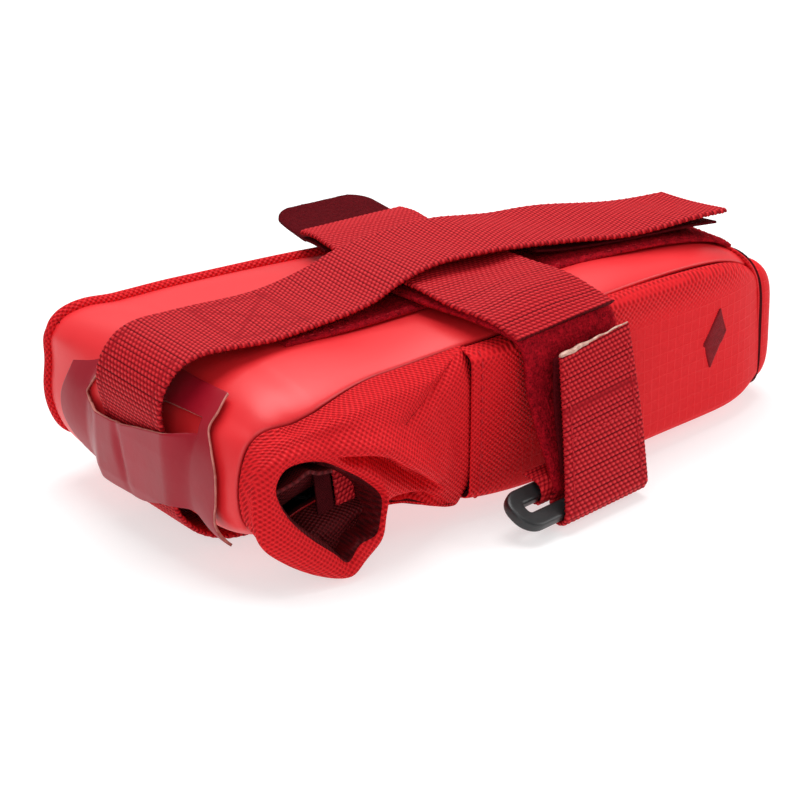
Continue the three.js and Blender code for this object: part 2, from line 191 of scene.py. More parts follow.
def cloth(name, face, thick, materials, slot, body, wrap=False, uv=None, back=None, marks=()):
    """A closed cloth: the face grid, a back grid `thick` below it, and a rim.
    Materials are for the face, the back and the rim, and the last one fills what is left."""
    if back is None:
        back = face - normals_of(face, wrap) * thick
    uv = flat_of(face) if uv is None else uv
    quads, kinds = closed_faces(face.shape[0], face.shape[1], wrap)
    marks = {mark: np.concatenate([values.ravel()] * 2) for mark, values in dict(marks).items()}
    both = np.concatenate([face.reshape(-1, 3), back.reshape(-1, 3)])
    return new_piece(name, both, quads, materials, slot, body, kinds,
                     np.concatenate([uv.reshape(-1, 2)] * 2), marks)


print("closed 3 x 3 cloth has", len(closed_faces(3, 3, False)[0]), "faces")

# %% [markdown]
# Finishes are built from a few shader nodes. A small helper makes a node and joins its inputs,
# so each finish below reads as a recipe. Numbers that are the same all over a finish are set on
# the shader's own sockets.

# %% Shader helper
class Finish:
    """A material with one Principled shader and a bump, built by short calls."""

    def __init__(self, name, roughness=0.8, **sockets):
        self.material = bpy.data.materials.new(name)
        self.material.use_nodes = True
        self.tree = self.material.node_tree
        self.shader = self.tree.nodes["Principled BSDF"]
        self.set(self.shader, Roughness=roughness, **sockets)

    def set(self, node, **inputs):
        for key, value in inputs.items():
            socket = node.inputs[int(key[1:])] if key[0] == "i" and key[1:].isdigit() else node.inputs[key.replace("_", " ")]
            if isinstance(value, bpy.types.NodeSocket):
                self.tree.links.new(value, socket)
            else:
                socket.default_value = value
        return node

    def add(self, kind, output=0, props=(), **inputs):
        node = self.tree.nodes.new("ShaderNode" + kind)
        for key, value in dict(props).items():
            setattr(node, key, value)
        return self.set(node, **inputs).outputs[output]

    def math(self, operation, a, b=0.0, c=0.0):
        return self.add("Math", props={"operation": operation}, i0=a, i1=b, i2=c)

    def flat(self):
        """Distance along and across the cloth, in mm."""
        uv = self.add("UVMap", props={"uv_map": "cloth"})
        mm = self.add("VectorMath", props={"operation": "SCALE"}, Vector=uv, Scale=1000.0)
        split = self.tree.nodes.new("ShaderNodeSeparateXYZ")
        self.tree.links.new(mm, split.inputs[0])
        return split.outputs[0], split.outputs[1]

    def mark(self, name):
        return self.add("Attribute", 2, {"attribute_name": name})

    def noise(self, scale, detail=3.0, roughness=0.55):
        """Cloudy value between 0 and 1 in the space of the piece."""
        place = self.add("TexCoord", 3)
        return self.add("TexNoise", Vector=place, Scale=scale, Detail=detail, Roughness=roughness)

    def ramp(self, value, *stops):
        """A colour or a value read from a ramp. Each stop is a place and a colour."""
        node = self.tree.nodes.new("ShaderNodeValToRGB")
        self.tree.links.new(value, node.inputs[0])
        while len(node.color_ramp.elements) < len(stops):
            node.color_ramp.elements.new(0.5)
        for element, (place, colour) in zip(node.color_ramp.elements, stops):
            element.position = place
            element.color = (*colour, 1.0) if hasattr(colour, "__len__") else (colour,) * 3 + (1.0,)
        return node.outputs[0]

    def blend(self, share, a, b, mode="MIX"):
        """Colour a turning into colour b."""
        node = self.tree.nodes.new("ShaderNodeMix")
        node.data_type, node.blend_type = "RGBA", mode
        for socket, value in zip((node.inputs[0], node.inputs[6], node.inputs[7]), (share, a, b)):
            if isinstance(value, bpy.types.NodeSocket):
                self.tree.links.new(value, socket)
            else:
                socket.default_value = (*value, 1.0) if hasattr(value, "__len__") else value
        return node.outputs[2]

    def done(self, colour=None, roughness=None, height=None, relief_mm=0.3):
        """Joins the colour, the roughness and a height of 0 to 1 worth relief_mm of bump."""
        if colour is not None:
            self.set(self.shader, Base_Color=colour)
        if roughness is not None:
            self.set(self.shader, Roughness=roughness)
        if height is not None:
            self.set(self.shader, Normal=self.add("Bump", Height=height, Distance=relief_mm * MM,
                                                  Strength=1.0))
        return self.material


def scaled(colour, factor):
    return tuple(min(1.0, c * factor) for c in colour)


print("shader helper ready")

# %% [markdown]
# The ballistic cloth shows fat yarns as staggered dots a millimetre apart. The product of two
# cosines gives exactly that: a hill at each lattice point and in each cell's middle. Towards the
# tail the same red changes to a fine ripstop, whose thicker threads make a grid of thin lines.
# A mark on the mesh says how much of each to show.

# %% Woven cloth
DOT_PITCH = 1.34                    # mm between dots of one row, with a second row between
RIPSTOP_PITCH = 3.1
# WOVEN_HIGH is the colour of the yarn hills with a painted highlight, WOVEN_LOW the colour of the hollows with painted
# shade; the cloth's own red lies between them
WOVEN_HIGH = (0.82, 0.010, 0.016)
WOVEN_LOW = (0.38, 0.001, 0.004)


def woven_cloth(name, high=WOVEN_HIGH, low=WOVEN_LOW):
    """Dots, fading into ripstop where the mark `calm` is 1."""
    f = Finish(name, 0.66, Specular_IOR_Level=0.16)
    u, v = f.flat()
    turn = 2 * math.pi / DOT_PITCH
    dots = f.math("MULTIPLY", f.math("COSINE", f.math("MULTIPLY", u, turn * 0.82)),
                  f.math("COSINE", f.math("MULTIPLY", v, turn)))
    dots = f.math("MULTIPLY_ADD", dots, 0.5, 0.5)
    wide = 2 * math.pi / RIPSTOP_PITCH
    line = f.math("MAXIMUM", f.math("COSINE", f.math("MULTIPLY", u, wide)),
                  f.math("COSINE", f.math("MULTIPLY", v, wide)))
    line = f.math("POWER", f.math("MAXIMUM", line, 0.0), 26.0)
    fine = f.math("MULTIPLY", f.math("SINE", f.math("MULTIPLY", u, turn * 2.4)),
                  f.math("SINE", f.math("MULTIPLY", v, turn * 2.4)))
    ripstop = f.math("ADD", f.math("MULTIPLY_ADD", fine, 0.07, 0.50), f.math("MULTIPLY", line, 0.22))
    calm = f.mark("calm")
    height = f.math("ADD", f.math("MULTIPLY", dots, f.math("SUBTRACT", 1.0, calm)),
                    f.math("MULTIPLY", ripstop, calm))
    uneven = f.noise(900.0, 2.0)
    height = f.math("ADD", height, f.math("MULTIPLY_ADD", uneven, 0.24, -0.12))
    middle = tuple((a + b) / 2 for a, b in zip(high, low))
    # Colour follows the height: hollows get painted shade, hills a painted highlight
    colour = f.ramp(height, (0.12, low), (0.45, scaled(middle, 1.12)), (0.85, high))
    colour = f.blend(f.math("MULTIPLY_ADD", f.noise(45.0), 0.5, -0.1), colour, scaled(high, 0.82))
    return f.done(colour, f.ramp(height, (0.2, 0.78), (0.9, 0.5)), height, 0.42)


WOVEN = woven_cloth("woven_cloth_red")
# WOVEN_SHADE is the same woven cloth made far darker: painted shade for cloth seen down inside the sleeve and the bag
WOVEN_SHADE = woven_cloth("woven_cloth_painted_shade", (0.11, 0.002, 0.004), (0.035, 0.0, 0.001))
print("woven cloth, dots every", DOT_PITCH, "mm")

# %% [markdown]
# The coated cloth is smooth, with a satin skin that reflects broad soft light. Its colour drifts
# a little, and a very fine grain keeps the reflection from looking like glass.

# %% Coated cloth, lining, film, plastic and thread
def coated_cloth():
    f = Finish("coated_cloth_coral", 0.42, Specular_IOR_Level=0.45)
    drift = f.noise(28.0, 4.0)
    grain = f.noise(2600.0, 2.0)
    colour = f.ramp(drift, (0.3, (0.74, 0.016, 0.022)), (0.7, (0.80, 0.022, 0.028)))
    return f.done(colour, f.math("MULTIPLY_ADD", drift, 0.10, 0.36), grain, 0.02)


def plain_cloth(name, colour, roughness=0.9, relief=0.15, **sockets):
    """A thin plain-weave cloth: threads too fine to see one by one."""
    f = Finish(name, roughness, **sockets)
    u, v = f.flat()
    weave = f.math("MULTIPLY", f.math("SINE", f.math("MULTIPLY", u, 9.0)),
                   f.math("SINE", f.math("MULTIPLY", v, 9.0)))
    height = f.math("MULTIPLY_ADD", weave, 0.3, f.noise(400.0))
    return f.done(f.ramp(height, (0.2, scaled(colour, 0.55)), (0.9, scaled(colour, 1.35))),
                  None, height, relief)


def film():
    """Semi-gloss film, a little cloudy, with shallow dents from the strap under it."""
    f = Finish("patch_film", 0.40, Specular_IOR_Level=0.28)
    cloud = f.noise(60.0, 4.0)
    colour = f.ramp(cloud, (0.3, (0.29, 0.004, 0.014)), (0.75, (0.36, 0.007, 0.021)))
    return f.done(colour, f.math("MULTIPLY_ADD", cloud, 0.2, 0.24), f.noise(160.0, 3.0), 0.10)


def plastic():
    f = Finish("black_plastic", 0.38, Specular_IOR_Level=0.5)
    speck = f.noise(1400.0, 2.0)
    wear = f.noise(90.0, 4.0)
    colour = f.ramp(wear, (0.35, (0.008, 0.008, 0.009)), (0.75, (0.022, 0.021, 0.022)))
    return f.done(colour, f.math("MULTIPLY_ADD", wear, 0.25, 0.26), speck, 0.03)


def plain(name, low, high, scale=300.0, roughness=0.6, relief=0.08, **sockets):
    """A finish with cloudy colour between two tones."""
    f = Finish(name, roughness, **sockets)
    cloud = f.noise(scale, 4.0)
    return f.done(f.ramp(cloud, (0.3, low), (0.7, high)), None, cloud, relief)


COATED = coated_cloth()
LINING = plain_cloth("lining_dark_red", (0.060, 0.002, 0.004), Specular_IOR_Level=0.1)
FILM = film()
FILM_EDGE = plain("film_cut_edge", (0.40, 0.11, 0.09), (0.66, 0.27, 0.22), 500.0, 0.5)
BLACK = plastic()
THREAD = plain("thread_red", (0.40, 0.006, 0.012), (0.58, 0.02, 0.03), 900.0, 0.6, Specular_IOR_Level=0.15)
THREAD_DARK = plain("thread_dark_red", (0.16, 0.002, 0.006), (0.26, 0.005, 0.012), 900.0, 0.6, Specular_IOR_Level=0.15)
BOARD = plain("board_grey", (0.10, 0.10, 0.11), (0.16, 0.16, 0.17))
SEALED = plain("heat_sealed_edge", (0.34, 0.15, 0.11), (0.72, 0.46, 0.36), 700.0, 0.42)
print("plain finishes made")

# %% [markdown]
# Webbing has real relief in its mesh: ribs of beads across the strap. The same relief is kept as a mark, and the
# finish reads it: the gaps between the beads get painted shade and the bead tops a painted highlight.
# Loop tape is a dark pile: a cloudy height in the mesh and in the colour.

# %% Webbing and tapes
def ribbed(name, gap, low, high):
    f = Finish(name, 0.60, Specular_IOR_Level=0.12)
    relief = f.mark("relief")
    fibre = f.noise(2200.0, 2.0)
    mixed = f.math("ADD", relief, f.math("MULTIPLY_ADD", fibre, 0.3, -0.15))
    # Colour from the relief: the gap colour is painted shade between the beads, the high colour a painted highlight on
    # the bead tops, the low colour the yarn's own red
    colour = f.ramp(mixed, (0.08, gap), (0.42, low), (0.92, high))
    return f.done(colour, f.ramp(relief, (0.1, 0.85), (0.9, 0.45)), fibre, 0.05)


def pile(name, low, high, tuft=620.0):
    f = Finish(name, 0.95, Specular_IOR_Level=0.06)
    tufts = f.noise(tuft, 4.0, 0.7)
    loops = f.noise(tuft * 3.2, 2.0, 0.6)
    height = f.math("MULTIPLY_ADD", loops, 0.5, f.math("MULTIPLY", tufts, 0.5))
    return f.done(f.ramp(height, (0.36, low), (0.64, high)), None, height, 0.5)


# Gap colour: painted shade between the beads; high colour: painted highlight on the bead tops
WEBBING = ribbed("webbing_red", (0.070, 0.0, 0.002), (0.36, 0.002, 0.008), (0.70, 0.028, 0.034))
LOOP = pile("loop_pile", (0.12, 0.001, 0.004), (0.50, 0.006, 0.016))
HOOK = pile("hook_pile", (0.045, 0.001, 0.003), (0.14, 0.004, 0.008), 1500.0)
print("webbing and tapes made")

# %% [markdown]
# The shell is a lofted bag. Four lines give its outline at every station: top, base, far side
# and near side. Each cross-section is a squarish oval, which is what foam-backed cloth makes of
# a box. The front is a soft nose between the top line and the base line.

# %% Outline of the bag
TOP = [[-5, 39.5], [-2, 42.6], [3, 45.2], [12, 46.5], [40, 47], [64, 48.2], [105, 50.3],
       [135, 50.5], [153, 49], [163, 46.4], [171, 42.2], [179, 35]]
BASE = [[-5, 10], [-2, 7], [4, 4.2], [14, 2.6], [24, 1.2], [34, 0], [150, 0], [165, 1], [179, 5.5]]
FAR = [[-5, 45.5], [0, 48], [12, 50.5], [28, 51.5], [48, 50], [72, 45.5], [92, 40], [112, 34.5],
       [150, 24.5], [165, 18.5], [179, 8]]
NEAR = [[-5, -45], [0, -47], [12, -48.5], [30, -47], [50, -44.5], [80, -42], [105, -39.5],
        [125, -36], [150, -31], [165, -26.5], [179, -18.5]]
NOSE = [[12, 46.4], [6, 45.9], [1, 44.3], [-3.6, 41.3], [-7.4, 37], [-9.9, 31], [-10.8, 24],
        [-10.0, 17], [-7.6, 11.6], [-3.2, 7.6], [3, 4.9], [12, 2.9]]
SQUARE = 5.0                        # power of the cross-section's oval
SEAM = 0.864                        # where the long seams lie, as a share of half the width
TAIL_END = 175.0
WALL = 1.8


def oval(share):
    """Height of the squarish oval at a share of its half width."""
    return (1 - np.clip(np.abs(share), 0, 1) ** SQUARE) ** (1 / SQUARE)


def section(x, degrees, inset=0.0):
    """A point of the bag's skin: a squarish oval at each station, 0 degrees on the far side."""
    x, a = np.broadcast_arrays(np.asarray(x, float), np.radians(degrees))
    near, far = at_station(NEAR, x) + inset, at_station(FAR, x) - inset
    low, high = np.maximum(0, at_station(BASE, x)) + inset, at_station(TOP, x) - inset
    power = lambda value: np.sign(value) * np.abs(value) ** (2 / SQUARE)
    y = (near + far) / 2 + (far - near) / 2 * power(np.cos(a))
    z = (low + high) / 2 + (high - low) / 2 * power(np.sin(a)) * 1.012
    return np.stack([x, y, np.clip(z, low, high)], axis=-1)


def tuck(x, y):
    """How far the base is drawn up along its near edge, behind the rolled sleeve."""
    lift = at_station([[-12, 0], [2, 3], [12, 9], [24, 13], [38, 12], [50, 6.5], [60, 2.4],
                       [74, 0.3], [90, 0]], np.clip(x, -12, 90))
    return lift * np.clip((-12 - y) / 30, 0, 1) ** 1.3


path = np.concatenate([
    np.stack([s := np.linspace(TAIL_END, 13, 160), at_station(TOP, s)], axis=1),
    hermite(np.arange(len(NOSE)), NOSE, np.linspace(0, len(NOSE) - 1, 120)),
    np.stack([s := np.linspace(14, TAIL_END, 160), np.maximum(0, at_station(BASE, s))], axis=1)])
PATH = measured(path, 430)
print("the coated band is", round(float(np.linalg.norm(np.diff(PATH, axis=0), axis=1).sum())), "mm long")

# %% [markdown]
# One coated cloth covers the top, wraps round the nose and runs back under the bag. It is one
# grid: rows follow the middle path, columns run from the near seam to the far seam, and each
# column drops away from the path as the oval does. Its two long edges turn in, which leaves a
# seam groove beside the woven sides.

# %% The coated band
def band_point(rows, share):
    """Skin of the coated band: the path row, moved inward along its normal by what the oval
    has dropped at that share of the half width. share runs from -1, near, to 1, far."""
    t = np.gradient(PATH, axis=0)
    t /= np.linalg.norm(t, axis=1, keepdims=True)
    x, z = PATH[rows, 0], PATH[rows, 1]
    out = np.stack([t[rows, 1], -t[rows, 0]], axis=-1)
    nose = step(-out[..., 0], 0.25, 0.9)
    corner = np.where(share < 0, step(x, 36, 3) * (out[..., 1] > 0.3), 0)
    reach = SEAM + (0.955 - SEAM) * np.maximum(nose, corner)
    station = np.clip(x, -5, 179)
    near, far = at_station(NEAR, station), at_station(FAR, station)
    y = (near + far) / 2 + (far - near) / 2 * reach * share
    half = np.where(nose > 0, 24 - 13 * nose, 24) * step(x, 200, 160) + 16 * step(x, 160, 200)
    drop = half * (1 - oval(reach * share))
    wave = 0.5 * np.sin(x / 13 + 2) * np.sin(y / 11) + 0.35 * np.sin(x / 7.3 + y / 17)
    crease = 0.8 * bell(z, 41, 3) * bell(y, -33, 9) * nose
    inward = drop - wave * (1 - np.abs(share) ** 4) * (1 - 0.5 * nose) * (z > 3) + crease
    x, z = x - out[..., 0] * inward, z - out[..., 1] * inward
    far_corner = np.clip(share, 0, 1) ** 2
    x = x - far_corner * (7.5 * bell(z, 41.5, 7.0) * step(x, 22, -2) + 2.6 * bell(z, 26, 14) * step(x, 4, -6))
    z = z + far_corner * 2.4 * bell(x, -5, 10) * step(z, 30, 38)
    z = z + tuck(x, y) * (out[..., 1] < 0.2) * step(-out[..., 1], -0.2, 0.8)
    return np.stack([x, y, np.maximum(z, 0)], axis=-1)


def turned(face, radius, sides):
    """Turns chosen edges of a cloth inward by a quarter circle: 0 to 3 are the first and last
    row and the first and last column."""
    normal = normals_of(face)
    down, over = spread(face, 0)[:, None], spread(face, 1)[None, :]
    reach = (down, down[-1:] - down, over, over[:, -1:] - over)
    near_edge = np.minimum.reduce([np.broadcast_to(reach[k], face.shape[:2]) for k in sides])
    d = radius - np.clip(near_edge, 0, radius)
    return face - normal * (radius - np.sqrt(radius ** 2 - d ** 2 * 0.96))[..., None]


share = np.sin(np.linspace(-math.pi / 2, math.pi / 2, 112)) * 0.35 + np.linspace(-1, 1, 112) * 0.65
band = band_point(np.arange(len(PATH))[:, None], share[None])
NEAR_EDGE, FAR_EDGE = band[:, 0], band[:, -1]
coated = cloth("coated_band", turned(band, 1.1, (2, 3)), WALL, [COATED, LINING], "coated_cloth", "shell")
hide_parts("top_panel", "front_panel", "base_panel", "top_stiffener")

# %% [markdown]
# The far side is one woven cloth sewn into the far seam. A grid is stretched between the seam
# along the top, round the nose and along the base, and it swells towards the far line by the
# same oval as the cross-section.

# %% Far side and near side
def side_cloth(upper, lower, front, rear, line, nose):
    """A grid inside four edge lines: the sum of what each pair of opposite edges gives, less
    what the four corners give. It then swells to the side line by the oval's curve."""
    n, m = len(upper), len(front)
    u, v = np.linspace(0, 1, n)[:, None, None], np.linspace(0, 1, m)[None, :, None]
    grid = (upper[:, None] * (1 - v) + lower[:, None] * v + front[None] * (1 - u) + rear[None] * u
            - upper[0] * (1 - u) * (1 - v) - upper[-1] * u * (1 - v)
            - lower[0] * (1 - u) * v - lower[-1] * u * v)
    x, z = grid[..., 0], grid[..., 2]
    tall = np.abs(2 * v[..., 0] - 1)
    front_share = nose * step(x, 30, x.min() + 1)
    a = np.clip((tall ** 4 + front_share ** 4) ** 0.25, 0, 1)
    swell = (oval(SEAM * a) - oval(SEAM)) / (1 - oval(SEAM))
    target = at_station(line, np.clip(x, -5, 179))
    depth = (target - grid[..., 1]) * swell
    grid[..., 1] += depth
    middle = (2 * v[..., 0] - 1) * np.abs(depth).max(axis=1, keepdims=True)
    flat = np.stack([x - front_share * np.abs(depth), z + np.sign(middle) * (
        np.abs(target - grid[..., 1]) - np.abs(target - grid[..., 1]).min())], axis=-1)
    return grid, flat


top_corner = int(np.argmin(np.abs(PATH[:, 0] + 2.5) + 100 * (PATH[:, 1] < 24)))
base_corner = int(np.argmin(np.abs(PATH[:, 0] + 2.0) + 100 * (PATH[:, 1] > 24)))
upper = measured(FAR_EDGE[:top_corner + 1][::-1], 360)
lower = measured(FAR_EDGE[base_corner:], 360)
front = measured(FAR_EDGE[top_corner:base_corner + 1], 120)
angles = np.linspace(43, -43, 120)
rear = section(TAIL_END, angles)
rear = rear + (upper[-1] - rear[0]) * np.linspace(1, 0, 120)[:, None] + (lower[-1] - rear[-1]) * np.linspace(0, 1, 120)[:, None]
far_grid, far_flat = side_cloth(upper, lower, front, rear, FAR, 1.0)
far_grid[..., 1] += 0.5 * np.sin(far_grid[..., 0] / 12) * np.sin(far_grid[..., 2] / 8)
calm = step(far_grid[..., 0], 90, 120) * step(far_grid[..., 2], 42, 34)
flip = lambda grid: grid[:, ::-1]
far_side = cloth("far_side_cloth", turned(flip(far_grid), 1.0, (0, 2, 3)), WALL, [WOVEN, LINING],
                 "woven_cloth", "shell", uv=flip(far_flat), marks={"calm": flip(calm)})
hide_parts("far_side_panel")

FLAP_END = 60.0
row_at = lambda x, top: int(np.argmin(np.abs(PATH[:, 0] - x) + 1000 * ((PATH[:, 1] < 24) == top)))
near_top = measured(NEAR_EDGE[:row_at(FLAP_END, True) + 1][::-1], 300)
near_base = measured(NEAR_EDGE[row_at(FLAP_END, False):], 300)


def joined(line, start, end):
    """An edge line shifted so that it starts and ends exactly at two given points."""
    share = np.linspace(0, 1, len(line))[:, None]
    return line + (start - line[0]) * (1 - share) + (end - line[-1]) * share


RIGHT_EDGE = joined(section(FLAP_END, np.linspace(137, 223, 130)), near_top[0], near_base[0])
rear = joined(section(TAIL_END, np.linspace(137, 223, 130)), near_top[-1], near_base[-1])
near_grid, near_flat = side_cloth(near_top, near_base, RIGHT_EDGE, rear, NEAR, 0.0)
x, z = near_grid[..., 0], near_grid[..., 2]
near_grid[..., 1] += (0.55 * np.sin(x / 11 + 1) * np.sin(z / 9) + 1.6 * bell(x, 92, 13) * bell(z, 47, 9)
                      - 0.9 * bell(x, 70, 9) * bell(z, 24, 14))
calm = step(x + 0.9 * (40 - z), 88, 112) * step(z, 45, 35)
near_side = cloth("near_side_cloth", turned(turned(near_grid, 1.0, (2, 3)), 0.45, (0,)), WALL, [WOVEN, LINING],
                  "woven_cloth", "shell", uv=near_flat, marks={"calm": calm})
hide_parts("near_side_panel")

# %% [markdown]
# The tail is a blunt cap of the same woven cloth. Rings of the last cross-section shrink to a
# point as they move back along a quarter of an oval.

# %% Tail cap
turn = np.radians(np.linspace(0, 90, 46))[:, None, None]
around = np.linspace(0, 360, 240, endpoint=False)
ring = section(TAIL_END, around, -0.3)
centre = np.array([TAIL_END, (at_station(NEAR, TAIL_END) + at_station(FAR, TAIL_END)) / 2, 21.0])
tail = centre + (ring - centre)[None] * np.cos(turn) ** 0.72
tail[..., 0] = TAIL_END + 9.0 * np.sin(turn[..., 0]) ** 1.05
start = TAIL_END - 2.5 - 9.5 * bell(around, 90, 46)
hood = section(start + (TAIL_END - start) * np.linspace(0, 1, 24)[:-1, None], around[None], -0.3)
hood[0] = section(start, around, 1.2)
tail = np.concatenate([hood, tail])
turn = np.concatenate([np.zeros((23, 1, 1)), turn])
tail[-1] = tail[-1].mean(axis=0) + (ring - centre) * 0.004
tail_flat = np.stack([np.minimum(tail[..., 0], TAIL_END) + 9 * np.sin(turn[..., 0]) + 14 * (1 - np.cos(turn[..., 0]) ** 0.72)
                      + 0 * tail[..., 1], tail[..., 2]], axis=-1)
cap = cloth("tail_cloth", tail, WALL, [WOVEN, LINING], "woven_cloth", "shell", wrap=True,
            uv=tail_flat, marks={"calm": step(tail[..., 2], 44, 36)})
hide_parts("tail_panel")

# %% [markdown]
# The closure is a sleeve of woven cloth that is rolled over on the near side. Its open end
# stands out at the front corner like an ear. One grid makes it: each row is a closed loop, from
# the seam line on the bag, over the swollen belly, round the lip and down inside. A fold runs
# from the lip towards the back, where the upper layer hangs over the lower roll.

# %% The rolled sleeve
def loop_of(corners, count):
    """A closed smooth loop through corner points, with count points at equal distances."""
    wrapped = np.asarray(corners + corners[:4], float)
    line = curve(wrapped, 30 * len(wrapped))
    walk = np.concatenate([[0], np.cumsum(np.linalg.norm(np.diff(line, axis=0), axis=1))])
    first = int(np.argmin(np.linalg.norm(line[:len(line) // 2] - np.asarray(corners[1]), axis=1)))
    last = len(line) // 2 + int(np.argmin(np.linalg.norm(line[len(line) // 2:] - np.asarray(corners[1]), axis=1)))
    return measured(line[first:last + 1], count + 1)[:-1]


def by_angle(loop, centre, degrees):
    """The loop read at given angles about a centre in the side view, the other way to a clock."""
    angle = np.unwrap(np.arctan2(loop[:, 2] - centre[1], loop[:, 0] - centre[0]))
    if angle[-1] < angle[0]:
        loop, angle = loop[::-1], angle[::-1]
    order = np.argsort(np.mod(angle, 2 * math.pi))
    turn = np.mod(angle, 2 * math.pi)[order]
    turn = np.concatenate([turn[-1:] - 2 * math.pi, turn, turn[:1] + 2 * math.pi])
    points = np.concatenate([loop[order][-1:], loop[order], loop[order][:1]])
    want = np.mod(np.radians(degrees), 2 * math.pi)
    return np.stack([np.interp(want, turn, points[:, k]) for k in range(3)], axis=1)


def matched(line, pairs, degrees):
    """A closed line read so that chosen places of it, as x and z, fall at chosen angles."""
    places = [int(np.argmin(np.linalg.norm(line[:, [0, 2]] - place, axis=1))) for place, _ in pairs]
    places[0], places[-1] = 0, len(line) - 1
    at = np.interp(degrees, [angle for _, angle in pairs], places)
    return np.stack([np.interp(at, np.arange(len(line)), line[:, k]) for k in range(3)], axis=1)


TURNS = 400
REAR_TOP = 44.0                     # angle at which the rear top corner of the seam is caught
share = np.linspace(0, 1, 2000)
turn_at = REAR_TOP + 360 * share
crowd = 1 + 1.8 * step(turn_at, 325, 345) + 0.5 * bell(turn_at, 75, 30)
turn_at = np.interp(np.linspace(0, 1, TURNS, endpoint=False), np.cumsum(crowd) / crowd.sum(), turn_at)
EAR_CENTRE = (13.0, 16.5)
base_line = NEAR_EDGE[row_at(-2.0, False):row_at(FLAP_END, False) + 1]
nose_line = NEAR_EDGE[row_at(FLAP_END, True):row_at(-2.0, False)]
seam_loop = np.concatenate([nose_line, base_line, RIGHT_EDGE[::-1]])
seam_loop = matched(measured(seam_loop, 2400),
                    [((60, 47.6), REAR_TOP), ((46, 46), 57), ((30, 45.5), 74), ((13, 45), 95), ((2, 43.5), 116),
                     ((-6, 37), 140), ((-8, 24), 172), ((-6, 15), 198), ((-2, 9), 222), ((8, 8), 250),
                     ((18, 12.5), 285), ((26, 14), 312), ((32, 14), 330), ((40, 12), 344), ((50, 8), 354),
                     ((60, 4), 362), ((60, 25), 382), ((60, 47.6), REAR_TOP + 360)], turn_at)
BELLY = [[28.6, -51.0, 20], [27.5, -51.3, 28], [19, -51.6, 34.2], [9, -51.4, 36.6], [0, -50.6, 35.6],
         [-6.0, -49.6, 31], [-7.4, -49.6, 22], [-5.4, -50.4, 12.5], [0.5, -51.2, 6.6], [8.5, -52.2, 2.0],
         [15.5, -52.8, 0.5], [21.5, -52.6, 3.4], [26, -52.2, 8.5], [28.2, -51.4, 14]]
LIP = [[27.2, -54.2, 19.2], [23.0, -53.4, 25.6], [17.2, -53.0, 29.6], [11.6, -53.2, 32.6], [5.0, -53.0, 34.2],
       [-1.6, -52.2, 33.0], [-4.6, -52.0, 26.6], [-2.6, -53.2, 17.6], [3.0, -54.8, 10.4], [10.8, -56.0, 4.4],
       [15.9, -56.4, 2.0], [20.6, -55.6, 5.4], [25.4, -54.8, 8.2], [27.0, -54.2, 13.0]]
INNER = [[26.2, -52.4, 18.6], [21.6, -51.8, 23.6], [16.4, -51.4, 27.2], [11.2, -51.4, 30.4], [5.4, -51.4, 31.8],
         [0.2, -51.0, 30.8], [-2.2, -51.0, 26.2], [0.6, -51.8, 19.4], [5.6, -53.0, 13.8], [11.6, -54.0, 8.6],
         [15.4, -54.2, 5.2], [18.9, -53.8, 8.6], [24.0, -53.4, 9.6], [25.8, -52.8, 13.4]]
belly, lip, inner = (by_angle(loop_of(points, 900), EAR_CENTRE, turn_at) for points in (BELLY, LIP, INNER))
deep = inner * [0.9, 0, 0.9] + [1.3, -45.5, 1.8]
deeper = inner * [0.8, 0, 0.8] + [2.6, -37.0, 3.4]
on_rear = (turn_at > 362)[:, None]
height = seam_loop[:, 2:]
near_corner = 0.5 * step(seam_loop[:, :1], 52, 60.3)
to_rear = np.where(on_rear, 0.5 + 0.5 * step(height, 47.5, 44) * step(height, 3.5, 8), near_corner)
to_base = step(height, 26, 15) * (1 - to_rear)
to_top = (1 - to_rear) * (1 - to_base)
room = np.clip(np.linalg.norm(belly - seam_loop, axis=1, keepdims=True) / 15, 0.1, 1)
rise = seam_loop + to_rear * [-2.6, -1.3, 0] + room * (to_top * [0, -3.4, -0.8] + to_base * [0, -4.6, -1.3])
rise += (belly - seam_loop) * [0.10, 0.10, 0.10] * (1 - to_rear)
aside = seam_loop - belly
aside[:, 1] = 0
aside /= np.linalg.norm(aside, axis=1, keepdims=True)
tucked = np.where(on_rear, 1.0, 2 * near_corner)
seam_loop = seam_loop + tucked * [2.2, 0.9, 0] + (1 - tucked) * (0.6 * aside + [0, -0.5, 0])
half_way = seam_loop * 0.45 + belly * 0.55 + [0, -1.4, 0] * to_top * room + [0, 2.6, 2.0] * to_base * step(seam_loop[:, :1], 18, 30)
loops = np.stack([seam_loop, rise, half_way, belly, lip, inner, deep, deeper])
knots = np.array([0, 0.12, 0.42, 0.66, 0.76, 0.82, 0.92, 1.0])
rows = np.linspace(0, 1, 122)
sleeve = hermite(knots, loops.reshape(len(knots), -1), rows).reshape(len(rows), TURNS, 3)

CREASE = curve([[4, 0, 33.0], [10, 0, 32.6], [17, 0, 32.2], [22, 0, 31.4], [27, 0, 29.6], [32.8, 0, 25.8],
                [39.9, 0, 20.8], [46, 0, 16.2], [53, 0, 11.5]], 200)[:, [0, 2]]


def from_crease(x, z):
    """Signed distance from the fold line, positive above it, and the share of its length."""
    flat = np.stack([x.ravel(), z.ravel()], axis=1)
    gaps = np.linalg.norm(flat[:, None] - CREASE[None, ::4], axis=2)
    nearest = np.argmin(gaps, axis=1) * 4
    offset = flat - CREASE[nearest]
    along = np.gradient(CREASE, axis=0)[nearest]
    side = np.sign(along[:, 0] * offset[:, 1] - along[:, 1] * offset[:, 0])
    return (side * np.linalg.norm(offset, axis=1)).reshape(x.shape), (nearest / 199).reshape(x.shape)


